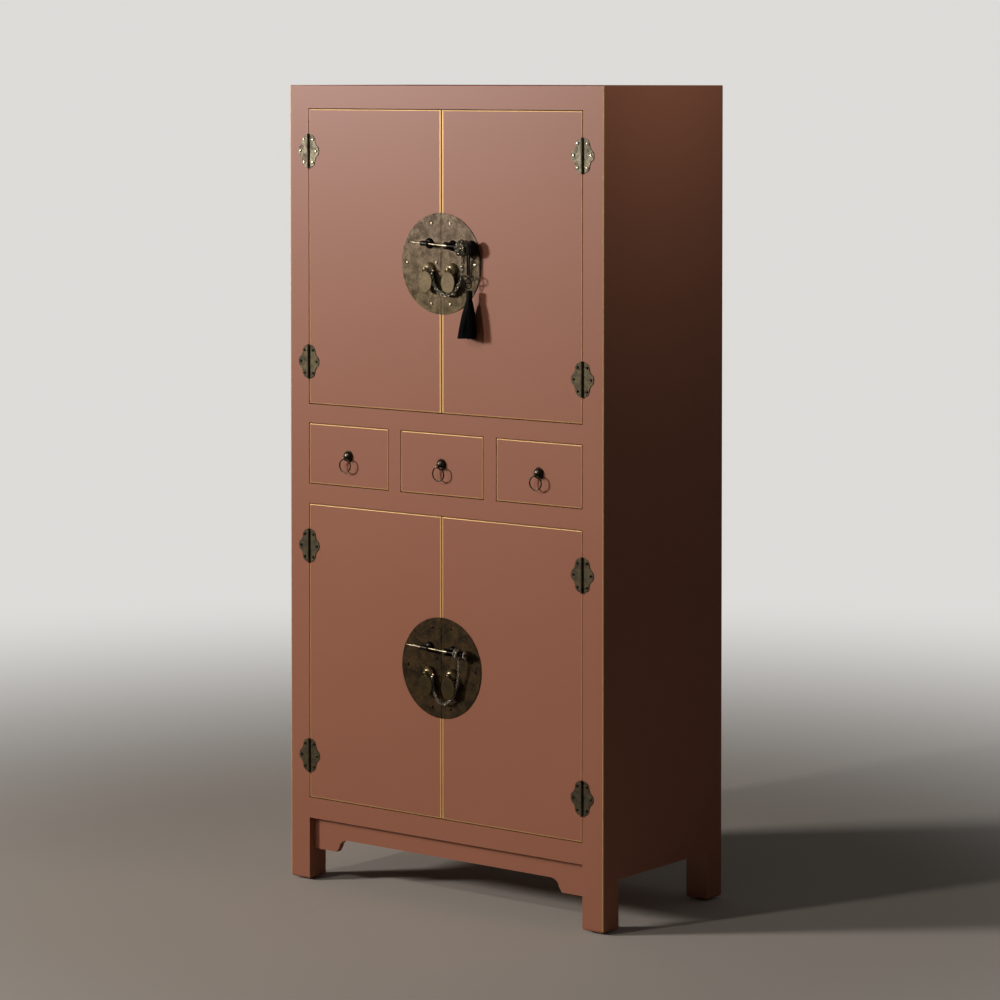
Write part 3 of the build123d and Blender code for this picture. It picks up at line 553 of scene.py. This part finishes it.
def end_grower(tree, geometry, material):
    """Realise what a tree has grown and give it its material."""
    whole = add_node(tree, "GeometryNodeRealizeInstances", inputs={0: geometry})
    clad = add_node(tree, "GeometryNodeSetMaterial", inputs={
        "Geometry": whole.outputs[0], "Material": material})
    smooth = add_node(tree, "GeometryNodeSetShadeSmooth", inputs={"Geometry": clad.outputs[0]})
    add_node(tree, "NodeGroupOutput", inputs={0: smooth.outputs[0]})


# %% run a tree, and draw the lines that it runs along
LINE_STEPS = 24             # fine points for each point that is given


def keep_mesh(holder):
    """The evaluated mesh of an object, which is then removed."""
    graph = bpy.context.evaluated_depsgraph_get()
    mesh = bpy.data.meshes.new_from_object(holder.evaluated_get(graph))
    bpy.data.objects.remove(holder)
    return mesh


def grow(name, tree, seed, body, slot, **values):
    """Run a tree on a seed mesh and keep the result; it rides on a body if one is named."""
    holder = bpy.data.objects.new(name, seed)
    bpy.context.scene.collection.objects.link(holder)
    modifier = holder.modifiers.new("grow", "NODES")
    modifier.node_group = tree
    for item in tree.interface.items_tree:
        if item.in_out == "INPUT" and item.name in values:
            modifier[item.identifier] = values[item.name]
    mesh = keep_mesh(holder)
    made = bpy.data.objects.new(name, mesh)
    bpy.context.scene.collection.objects.link(made)
    if body:
        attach(made, body)
    print(name, "grown:", len(mesh.vertices), "points")
    return made


def smooth_line(name, points, closed=False):
    """The fine points of a smooth NURBS line, as a mesh of edges; points are in metres."""
    data = bpy.data.curves.new(name, "CURVE")
    data.dimensions = "3D"
    data.resolution_u = LINE_STEPS
    spline = data.splines.new("NURBS")
    spline.points.add(len(points) - 1)
    for place, point in zip(spline.points, points):
        place.co = (*point, 1.0)
    spline.order_u = 3
    spline.use_endpoint_u = not closed
    spline.use_cyclic_u = closed
    holder = bpy.data.objects.new(name, data)
    bpy.context.scene.collection.objects.link(holder)
    return keep_mesh(holder)


print("a line has", LINE_STEPS, "fine points for each point that is given")

# %% [markdown]
# **Chains.** A cable chain: oval links of round wire, each turned a quarter turn to its
# neighbours. The tree takes the chain's line, sets a link at even steps along it, points the link
# along the line, and rolls every second one by 90 degrees.

# %% the chain tree
LINK_CORNERS, WIRE_CORNERS = 14, 6
chain_tree, given = new_grower(
    "cable_chain", pitch=0.0047, link_length=0.0074, link_width=0.0059, wire=0.00095, roll=0.7)
line = add_node(chain_tree, "GeometryNodeMeshToCurve", inputs={0: given["Geometry"]})
places = add_node(chain_tree, "GeometryNodeCurveToPoints", {"mode": "LENGTH"}, {
    "Curve": line.outputs[0], "Length": given["pitch"]})
oval = add_node(chain_tree, "GeometryNodeCurvePrimitiveCircle", inputs={
    "Resolution": LINK_CORNERS, "Radius": 0.5})
across = add_node(chain_tree, "ShaderNodeCombineXYZ", inputs={
    0: given["link_length"], 1: given["link_width"], 2: 1.0})
sized = add_node(chain_tree, "GeometryNodeTransform", inputs={
    0: oval.outputs[0], "Scale": across.outputs[0]})
round_wire = add_node(chain_tree, "GeometryNodeCurvePrimitiveCircle", inputs={
    "Resolution": WIRE_CORNERS, "Radius": given["wire"]})
link = add_node(chain_tree, "GeometryNodeCurveToMesh", inputs={
    0: sized.outputs[0], 1: round_wire.outputs[0]})
along = add_node(chain_tree, "FunctionNodeAlignRotationToVector", {"axis": "X"}, {
    "Vector": places.outputs["Tangent"]})
number = add_node(chain_tree, "GeometryNodeInputIndex")
odd = add_node(chain_tree, "ShaderNodeMath", {"operation": "MODULO"}, {
    0: number.outputs[0], 1: 2.0})
turn = add_node(chain_tree, "ShaderNodeMath", {"operation": "MULTIPLY_ADD"}, {
    0: odd.outputs[0], 1: math.pi / 2, 2: given["roll"]})
about_line = add_node(chain_tree, "FunctionNodeAxisAngleToRotation", inputs={
    "Axis": (1, 0, 0), "Angle": turn.outputs[0]})
facing = add_node(chain_tree, "FunctionNodeRotateRotation", {"rotation_space": "LOCAL"}, {
    0: along.outputs[0], 1: about_line.outputs[0]})
links = add_node(chain_tree, "GeometryNodeInstanceOnPoints", inputs={
    "Points": places.outputs["Points"], "Instance": link.outputs[0],
    "Rotation": facing.outputs[0]})
end_grower(chain_tree, links.outputs[0], given["material"])

# %% [markdown]
# Both chains hang from a short arm on the left post to the ring of the lock pin, which slides.
# Each chain is grown in place and rides on no body. Its route is written beside its plate, in
# millimetres, as it would be measured.

# %% where things are on a plate and on a pin
PIN_RISE, PIN_STANDOFF = 42.0, 18.0     # mm from a plate's centre to the pin's axis
PIN_TILT = math.radians(3.0)


def on_plate(level, x, standoff, rise):
    """A point in metres from millimetres beside, in front of and above a plate's centre."""
    return Vector((x * MM, FACE_Y - standoff * MM, PLATE_Z[level] + rise * MM))


def on_pin(level, along, forward=0.0, up=0.0):
    """A point in metres from millimetres along, in front of and square above a pin's axis."""
    return on_plate(level, along * math.cos(PIN_TILT) + up * math.sin(PIN_TILT),
                    PIN_STANDOFF + forward,
                    PIN_RISE - along * math.sin(PIN_TILT) + up * math.cos(PIN_TILT))


print("the upper pin's axis starts at", tuple(round(c, 4) for c in on_pin("upper", 0)))

# %% hang the chains
# Each point is (X, distance in front of the face, height above the plate's centre), in mm.
CHAIN_START = (-19.2, 10.0, -16.8)
CHAIN_POINTS = {
    "upper": [(-18.5, 10.5, -25.0), (-15.0, 11.5, -37.0), (-9.0, 12.0, -50.0),
              (1.0, 12.5, -61.0), (16.0, 13.0, -67.5), (33.0, 13.0, -67.0),
              (48.0, 13.0, -59.0), (60.0, 13.5, -45.0), (67.5, 14.0, -27.0),
              (72.5, 15.5, -4.0)],
    "lower": [(-18.5, 10.5, -26.0), (-16.0, 11.5, -40.0), (-11.0, 12.0, -55.0),
              (-3.0, 12.5, -68.0), (7.0, 13.0, -76.0), (21.0, 13.0, -75.5),
              (34.0, 13.0, -67.0), (45.5, 13.0, -52.0), (54.5, 13.2, -30.0),
              (60.0, 15.0, -6.0)],
}
LINK_SIZES = {
    "upper": {"pitch": 0.0051, "link_length": 0.0080, "link_width": 0.0064, "wire": 0.0011},
    "lower": {"pitch": 0.0044, "link_length": 0.0067, "link_width": 0.0052, "wire": 0.0009},
}
RING_X = {"upper": 75.7, "lower": 63.2}
RING_DROP = 13.0            # from the pin's axis to the foot of its ring
for level in LEVELS:
    route = [on_plate(level, *station) for station in (CHAIN_START, *CHAIN_POINTS[level])]
    route.append(on_pin(level, RING_X[level], 0.0, -RING_DROP))
    seed = smooth_line(f"{level}_chain_line", route)
    hung = grow(f"{level}_chain_links", chain_tree, seed, None, "chain_brass",
                material=chain_brass, **LINK_SIZES[level])
    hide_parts(f"{level}_chain")
    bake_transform(hung)

# %% [markdown]
# The chains are longer than they need to be, and the spare length is wound loosely round the pin
# beside its head. Its line goes round the pin while a sine moves it to and fro along the pin, and
# a fixed seed makes each turn a little looser or tighter than the last.

# %% the spare length of each chain
# Each bunch is its place along the pin, half length, reach forward, reach up, in mm, and turns.
BUNCHES = {"upper": (73.0, 8.0, 12.0, 17.0, 4.5), "lower": (59.0, 6.0, 9.0, 13.0, 2.5)}
TURN_STEPS = 12             # points in one turn of a wound line
BUNCH_SAG = 1.5             # mm
WANDER = 0.9                # how much of the half length a bunch uses
LOOSE, LOOSE_SWING, LOOSE_CHANCE = 0.72, 0.28, 0.08     # shares of a bunch's reach
LOOSE_WAVE, WANDER_WAVE = 17.0, 11.0    # radians from one end of the line to the other
for level, (middle, half, forward, up, turns) in BUNCHES.items():
    chance = random.Random(17)
    steps = round(turns * TURN_STEPS)
    coils = []
    for step in range(steps):
        share = step / (steps - 1)
        turned = math.tau * step / TURN_STEPS
        loose = (LOOSE + LOOSE_SWING * math.sin(share * LOOSE_WAVE)
                 + chance.uniform(-LOOSE_CHANCE, LOOSE_CHANCE))
        coils.append(on_pin(level, middle + half * math.sin(share * WANDER_WAVE) * WANDER,
                            forward * loose * math.cos(turned),
                            up * loose * math.sin(turned) - BUNCH_SAG))
    grow(f"{level}_chain_bunch", chain_tree, smooth_line(f"{level}_bunch_line", coils),
         f"pin_{level}", "chain_brass", material=chain_brass, **LINK_SIZES[level])

# %% [markdown]
# **Silk.** The upper pin's tassel is twisted black silk: a cord wound round the pin's neck and
# head, which hangs doubled to an open knot, and then a bound head and a skirt of loose threads.
# Silk is dyed before it is twisted, so it is black all through, with a slight gloss; its soft
# sheen is painted in as paler fibres.

# %% black silk
def black_silk(name, base, painted_sheen, strand_mm):
    """Dyed silk thread: nearly black, with paler fibres painted in as sheen along the strands."""
    material, tree = new_material(name)
    place = add_node(tree, "ShaderNodeTexCoord").outputs["Object"]
    fibres = add_node(tree, "ShaderNodeTexNoise", inputs={
        "Vector": place, "Scale": 1 / (strand_mm * MM), "Detail": 2.0})
    colour = add_node(tree, "ShaderNodeMix", {"data_type": "RGBA"}, {
        "Factor": fibres.outputs["Fac"], 6: tone(base), 7: tone(painted_sheen)}).outputs[2]
    bump = add_node(tree, "ShaderNodeBump", inputs={
        "Height": fibres.outputs["Fac"], "Strength": 0.3, "Distance": 0.0004})
    shader = add_node(tree, "ShaderNodeBsdfPrincipled", inputs={
        "Base Color": colour, "Roughness": 0.55, "Normal": bump.outputs[0],
        "Specular IOR Level": 0.06})
    add_node(tree, "ShaderNodeOutputMaterial", inputs={"Surface": shader.outputs["BSDF"]})
    return material


thread_silk = black_silk("black_silk_threads", "#030303", "#090808", 1.2)
# The cord's paler fibre tone is painted sheen.
cord_silk = black_silk("twisted_black_silk_cord", "#040404", "#26221E", 0.9)
print("two black silks made")

# %% [markdown]
# **Cords.** A twisted cord shows its twist as a fine spiral. A bump could draw it, but its outline
# would stay smooth, so its section is a three-lobed outline that turns as it runs down.

# %% the cord tree: a lobed section that turns along a line
LOBES, CORD_CORNERS = 3, 9
cord_tree, given = new_grower("twisted_cord", radius=0.0012, lobe=0.18, twist=1400.0, step=0.0008)
line = add_node(cord_tree, "GeometryNodeMeshToCurve", inputs={0: given["Geometry"]})
fine = add_node(cord_tree, "GeometryNodeResampleCurve", {"mode": "LENGTH"}, {
    "Curve": line.outputs[0], "Length": given["step"]})
run = add_node(cord_tree, "GeometryNodeSplineParameter")
angle = add_node(cord_tree, "ShaderNodeMath", {"operation": "MULTIPLY"}, {
    0: run.outputs["Length"], 1: given["twist"]})
tilted = add_node(cord_tree, "GeometryNodeSetCurveTilt", inputs={
    "Curve": fine.outputs[0], "Tilt": angle.outputs[0]})
outline = add_node(cord_tree, "GeometryNodeCurvePrimitiveCircle", inputs={
    "Resolution": CORD_CORNERS, "Radius": given["radius"]})
corner = add_node(cord_tree, "GeometryNodeInputIndex")
phase = add_node(cord_tree, "ShaderNodeMath", {"operation": "MULTIPLY"}, {
    0: corner.outputs[0], 1: math.tau / LOBES})
wave = add_node(cord_tree, "ShaderNodeMath", {"operation": "COSINE"}, {0: phase.outputs[0]})
swell = add_node(cord_tree, "ShaderNodeMath", {"operation": "MULTIPLY_ADD"}, {
    0: wave.outputs[0], 1: given["lobe"], 2: 1.0})
spot = add_node(cord_tree, "GeometryNodeInputPosition")
pushed = add_node(cord_tree, "ShaderNodeVectorMath", {"operation": "SCALE"}, {
    0: spot.outputs[0], "Scale": swell.outputs[0]})
lobed = add_node(cord_tree, "GeometryNodeSetPosition", inputs={
    "Geometry": outline.outputs[0], "Position": pushed.outputs[0]})
tube = add_node(cord_tree, "GeometryNodeCurveToMesh", inputs={
    0: tilted.outputs[0], 1: lobed.outputs[0], "Fill Caps": True})
end_grower(cord_tree, tube.outputs[0], given["material"])

# %% places of the tassel
tassel_low, tassel_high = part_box("tassel")
TASSEL_X = (tassel_low.x + tassel_high.x) / 2
TASSEL_Y = (tassel_low.y + tassel_high.y) / 2
HEAD_TOP = tassel_high.z
HEM_Z = tassel_low.z
KNOT_HEIGHT = 0.032
KNOT_TOP = HEAD_TOP + KNOT_HEIGHT
HEAD_HEIGHT = 0.021
HEAD_X = TASSEL_X + 0.003   # the bound head hangs a little out of line with the knot
SKIRT_TOP = HEAD_TOP - HEAD_HEIGHT
SILK = {"body": "tassel_upper", "slot": "black_silk"}
print("tassel from z", round(KNOT_TOP, 4), "at the knot to", round(HEM_Z, 4), "at the hem")

# %% [markdown]
# The cord is wound into a ball on the pin's neck, turn across turn. Each turn goes round at a new
# angle, and each point of it lies at a slightly different depth, from a fixed seed. The ball stays
# with the pin, because only what hangs below it swings.

# %% the wound silk
WOUND_RADIUS = 0.0013
WOUND_STEP = 0.0014
BALL_X = 98.0               # along the pin, in mm
BALL_SIZE = (11.0, 12.0, 16.5)      # half sizes along, in front of and above the pin, in mm
BALL_TURNS, BALL_SWING = 34, 0.61   # each turn is swung this far from the last, in radians
BALL_DEPTH = (0.84, 1.04)           # the least and greatest share of those sizes
chance = random.Random(5)
ball_line = []
for step in range(BALL_TURNS * TURN_STEPS):
    turned = math.tau * step / TURN_STEPS
    swing = BALL_SWING * step / TURN_STEPS
    depth = chance.uniform(*BALL_DEPTH)
    out = Vector((math.cos(turned) * math.cos(swing), math.cos(turned) * math.sin(swing),
                  math.sin(turned)))
    ball_line.append(on_pin("upper", BALL_X + BALL_SIZE[0] * depth * out.x,
                            BALL_SIZE[1] * depth * out.y, BALL_SIZE[2] * depth * out.z))
grow("silk_wrapping", cord_tree, smooth_line("wrapping_line", ball_line), "pin_upper",
     "black_silk", radius=WOUND_RADIUS, step=WOUND_STEP, material=cord_silk)

# %% [markdown]
# Two strands hang side by side from the ball to the knot, and draw together as they go down. They
# are limp cords, so each is grown along its route with its thickness.

# %% the two strands
NECK_X = 90.9               # along the pin, in mm
STRAND_TOP = on_pin("upper", NECK_X).z - 0.012      # inside the foot of the ball
STRAND_APART = 0.0027       # from the middle between the strands to each of them, at the top
STRAND_RADIUS = 0.0018
# Each point is how far a strand has drawn in, in metres, and its share of the way down.
STRAND_POINTS = ((0.0, 0.0), (0.0001, 0.3), (0.0006, 0.7), (0.001, 1.0))
for name, side in (("left_strand", -1), ("right_strand", 1)):
    top = Vector((TASSEL_X + side * STRAND_APART, TASSEL_Y, STRAND_TOP))
    drop = top.z - KNOT_TOP
    points = [top - Vector((side * inward, 0, share * drop)) for inward, share in STRAND_POINTS]
    route = smooth_line(f"{name}_line", points)
    strand = grow(name, cord_tree, route, **SILK, radius=STRAND_RADIUS, material=cord_silk)

# %% [markdown]
# The knot is open: one cord that passes over and under itself in three loops. That is a trefoil, a
# closed line that three sines give.

# %% the open knot
KNOT_STEPS = 72
KNOT_WIDE, KNOT_DEEP, KNOT_TALL = 0.0056, 0.0024, 0.0053
KNOT_MIDDLE = KNOT_TOP - 0.0125
loops = []
for step in range(KNOT_STEPS):
    turned = math.tau * step / KNOT_STEPS
    loops.append((TASSEL_X + KNOT_WIDE * (math.sin(turned) + 2 * math.sin(2 * turned)),
                  TASSEL_Y - KNOT_DEEP * math.sin(3 * turned),
                  KNOT_MIDDLE + KNOT_TALL * (math.cos(turned) - 2 * math.cos(2 * turned))))
knot = grow("silk_knot", cord_tree, smooth_line("knot_line", loops, closed=True), **SILK,
            radius=WOUND_RADIUS, material=cord_silk)
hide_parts("tassel_cord")

# %% [markdown]
# **Skirt.** Several hundred threads leave the bound head together and spread towards the hem. Each
# thread has its own number, which sets its direction by the golden angle, how far out it lies, and
# how long it is, so the hem is slightly uneven and no two threads run the same way.

# %% the skirt tree: numbered threads
THREAD_POINTS = 9
skirt_tree, given = new_grower(
    "silk_skirt", threads=620, drop=0.078, waist=0.0062, hem_x=0.0245, hem_y=0.018,
    thread=0.00042, ragged=0.004, lean=-0.006)
spread = add_node(skirt_tree, "GeometryNodePoints", inputs={"Count": given["threads"]})
number = add_node(skirt_tree, "GeometryNodeInputIndex")
numbered = add_node(skirt_tree, "GeometryNodeStoreNamedAttribute", {
    "data_type": "FLOAT", "domain": "POINT"}, {
    "Geometry": spread.outputs[0], "Name": "thread_number", "Value": number.outputs[0]})
straight = add_node(skirt_tree, "GeometryNodeCurvePrimitiveLine", inputs={"End": (0, 0, -1)})
jointed = add_node(skirt_tree, "GeometryNodeResampleCurve", {"mode": "COUNT"}, {
    "Curve": straight.outputs[0], "Count": THREAD_POINTS})
bundle = add_node(skirt_tree, "GeometryNodeInstanceOnPoints", inputs={
    "Points": numbered.outputs[0], "Instance": jointed.outputs[0]})
single = add_node(skirt_tree, "GeometryNodeRealizeInstances", inputs={0: bundle.outputs[0]})
# What the sums below may use: the tree's sizes, a thread's number, how far down it a point is
# (0 to 1), and two random values that belong to the thread.
known = {socket.name: socket for socket in given}
known["number"] = add_node(skirt_tree, "GeometryNodeInputNamedAttribute", {
    "data_type": "FLOAT"}, {"Name": "thread_number"}).outputs[0]
known["down"] = add_node(skirt_tree, "GeometryNodeSplineParameter").outputs["Factor"]
for name, seed in (("jitter", 11), ("sway", 29)):
    known[name] = add_node(skirt_tree, "FunctionNodeRandomValue", {"data_type": "FLOAT"}, {
        2: -1.0, 3: 1.0, "ID": known["number"], "Seed": seed}).outputs[1]
print("each of the skirt's threads has", THREAD_POINTS, "points")

# %% the skirt tree: where each point of a thread lies
# Each row is a result, its operation and its terms; a word among the terms is known already.
SUMS = [
    # A thread's direction: the golden angle, in radians, and a sway that grows towards the hem.
    ("golden", "MULTIPLY", "number", 2.39996),
    ("swayed", "MULTIPLY", "sway", "down"),
    ("swung", "MULTIPLY_ADD", "swayed", 0.09, "golden"),
    # How far out it lies: from 0.28 to 1 of the skirt's radius, with more threads outside.
    ("even", "DIVIDE", "number", "threads"),
    ("crowded", "POWER", "even", 0.42),
    ("outward", "MULTIPLY_ADD", "crowded", 0.72, 0.28),
    ("at_waist", "MULTIPLY", "outward", "waist"),
    # The skirt opens a little faster near its top.
    ("opened", "POWER", "down", 0.8),
    # Each thread waves by up to 1.2 mm at the hem, and not at all at the top.
    ("wave", "MULTIPLY_ADD", "down", 5.0, "sway"),
    ("waved", "SINE", "wave"),
    ("bent", "MULTIPLY", "waved", 0.0012),
    ("ripple", "MULTIPLY", "bent", "down"),
]
for hem, part in (("hem_x", "COSINE"), ("hem_y", "SINE")):
    SUMS += [
        (f"{hem}_full", "MULTIPLY", "outward", hem),
        (f"{hem}_gain", "SUBTRACT", f"{hem}_full", "at_waist"),
        (f"{hem}_reach", "MULTIPLY_ADD", f"{hem}_gain", "opened", "at_waist"),
        (f"{hem}_wavy", "ADD", f"{hem}_reach", "ripple"),
        (f"{hem}_part", part, "swung"),
        (f"{hem}_place", "MULTIPLY", f"{hem}_wavy", f"{hem}_part"),
    ]
SUMS += [
    # Its own length, its height at each point, and the lean of the whole skirt.
    ("length", "MULTIPLY_ADD", "jitter", "ragged", "drop"),
    ("fallen", "MULTIPLY", "down", "length"),
    ("height", "MULTIPLY", "fallen", -1.0),
    ("leant", "MULTIPLY_ADD", "down", "lean", "hem_x_place"),
]
for result, operation, *terms in SUMS:
    terms = [known[term] if isinstance(term, str) else term for term in terms]
    known[result] = add_node(skirt_tree, "ShaderNodeMath", {"operation": operation},
                             dict(enumerate(terms))).outputs[0]
print(len(SUMS), "sums place a point of a thread")

# %% the skirt tree: threads of that shape
laid = add_node(skirt_tree, "ShaderNodeCombineXYZ", inputs={
    0: known["leant"], 1: known["hem_y_place"], 2: known["height"]})
combed = add_node(skirt_tree, "GeometryNodeSetPosition", inputs={
    "Geometry": single.outputs[0], "Position": laid.outputs[0]})
section = add_node(skirt_tree, "GeometryNodeCurvePrimitiveCircle", inputs={
    "Resolution": 4, "Radius": given["thread"]})
threads = add_node(skirt_tree, "GeometryNodeCurveToMesh", inputs={
    0: combed.outputs[0], 1: section.outputs[0], "Fill Caps": True})
hung = add_node(skirt_tree, "GeometryNodeTransform", inputs={
    0: threads.outputs[0], "Translation": (HEAD_X, TASSEL_Y, SKIRT_TOP)})
end_grower(skirt_tree, hung.outputs[0], given["material"])
empty_seed = bpy.data.meshes.new("seed")
HEM_ROOM = 0.003            # left under the mean thread for the longer ones
skirt = grow("silk_skirt", skirt_tree, empty_seed, **SILK, drop=SKIRT_TOP - HEM_Z - HEM_ROOM,
             material=thread_silk)
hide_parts("tassel")

# %% [markdown]
# Above the skirt the threads are bound with finer silk, which swells a little in the middle. A
# core inside the skirt keeps light from showing between the threads.

# %% bound head
BINDING_TURNS = 15
BINDING_RADIUS, BINDING_LOBE, BINDING_STEP = 0.001, 0.1, 0.001
BINDING_INSET = 0.001       # how far the binding stays inside the head's ends
HEAD_RADIUS, HEAD_SWELL, HEAD_WAVE = 0.0052, 0.0014, 0.0006
steps = BINDING_TURNS * TURN_STEPS
binding = []
for step in range(steps):
    share = step / (steps - 1)
    bulge = (HEAD_RADIUS + HEAD_SWELL * math.sin(math.pi * share)
             + HEAD_WAVE * math.sin(share * 9))
    turned = math.tau * step / TURN_STEPS
    binding.append((HEAD_X + bulge * math.cos(turned), TASSEL_Y + bulge * math.sin(turned),
                    SKIRT_TOP + BINDING_INSET + share * (HEAD_HEIGHT - 2 * BINDING_INSET)))
grow("silk_bound_head", cord_tree, smooth_line("binding_line", binding), **SILK,
     radius=BINDING_RADIUS, lobe=BINDING_LOBE, step=BINDING_STEP, material=cord_silk)

# %% core: a closed form turned about a vertical line
CORE_PROFILE = [(0.003, HEAD_TOP - 0.0005), (0.0052, HEAD_TOP - 0.004), (0.0058, SKIRT_TOP),
                (0.0095, SKIRT_TOP - 0.02), (0.0145, HEM_Z + 0.012), (0.0135, HEM_Z + 0.008)]
CORE_X = HEAD_X - 0.002     # it follows the skirt's lean
CORE_FLAT = 0.75            # its depth as a share of its width
AROUND = 24
core_points, core_faces = [], []
for radius, z in CORE_PROFILE:
    for place in range(AROUND):
        turn = math.tau * place / AROUND
        core_points.append((CORE_X + radius * math.cos(turn),
                            TASSEL_Y + CORE_FLAT * radius * math.sin(turn), z))
last_ring = (len(CORE_PROFILE) - 1) * AROUND
for ring in range(0, last_ring, AROUND):
    for place in range(AROUND):
        after = (place + 1) % AROUND
        core_faces.append((ring + place, ring + AROUND + place, ring + AROUND + after,
                           ring + after))
core_faces.append(tuple(range(AROUND)))
core_faces.append(tuple(reversed(range(last_ring, last_ring + AROUND))))
core_mesh = bpy.data.meshes.new("silk_core")
core_mesh.from_pydata(core_points, [], core_faces)
core_mesh.materials.append(thread_silk)
core_mesh.shade_smooth()
core = bpy.data.objects.new("silk_core", core_mesh)
bpy.context.scene.collection.objects.link(core)
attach(core, SILK["body"])
print("silk_core made:", len(core_faces), "faces")

# %% [markdown]
# **Flower head.** The lower pin ends in a cast flower: petals round a boss. The boss is in the
# construction model, and a small tree sets a flattened ball for each petal on a circle round it.
# Casting and wear leave the petals paler than the pin.

# %% flower head of the lower pin
FLOWER_X = 79.0             # along the pin, on its head
flower_brass = aged_brass(
    "worn_flower_brass", "#CFC8BA", "#6E665A", mottle_mm=(5, 1.2), rough=(0.3, 0.45),
    metallic=0.6, relief=0.1)
petal_tree, given = new_grower("cast_petals", petals=7, ring=0.0049, petal=0.0032, proud=0.0022)
ring = add_node(petal_tree, "GeometryNodeCurvePrimitiveCircle", inputs={
    "Resolution": given["petals"], "Radius": given["ring"]})
stations = add_node(petal_tree, "GeometryNodeCurveToPoints", {"mode": "EVALUATED"}, {
    "Curve": ring.outputs[0]})
ball = add_node(petal_tree, "GeometryNodeMeshUVSphere", inputs={
    "Segments": 10, "Rings": 6, "Radius": given["petal"]})
flattened = add_node(petal_tree, "ShaderNodeMath", {"operation": "DIVIDE"}, {
    0: given["proud"], 1: given["petal"]})
thin = add_node(petal_tree, "ShaderNodeCombineXYZ", inputs={
    0: 1.0, 1: 1.0, 2: flattened.outputs[0]})
petal = add_node(petal_tree, "GeometryNodeTransform", inputs={
    0: ball.outputs[0], "Scale": thin.outputs[0]})
flower = add_node(petal_tree, "GeometryNodeInstanceOnPoints", inputs={
    "Points": stations.outputs[0], "Instance": petal.outputs[0]})
facing_right = add_node(petal_tree, "GeometryNodeTransform", inputs={
    0: flower.outputs[0], "Rotation": (0, math.pi / 2 + PIN_TILT, 0),
    "Translation": on_pin("lower", FLOWER_X)})
end_grower(petal_tree, facing_right.outputs[0], given["material"])
grow("lower_pin_flower", petal_tree, empty_seed, "pin_lower", "pin_brass", material=flower_brass)
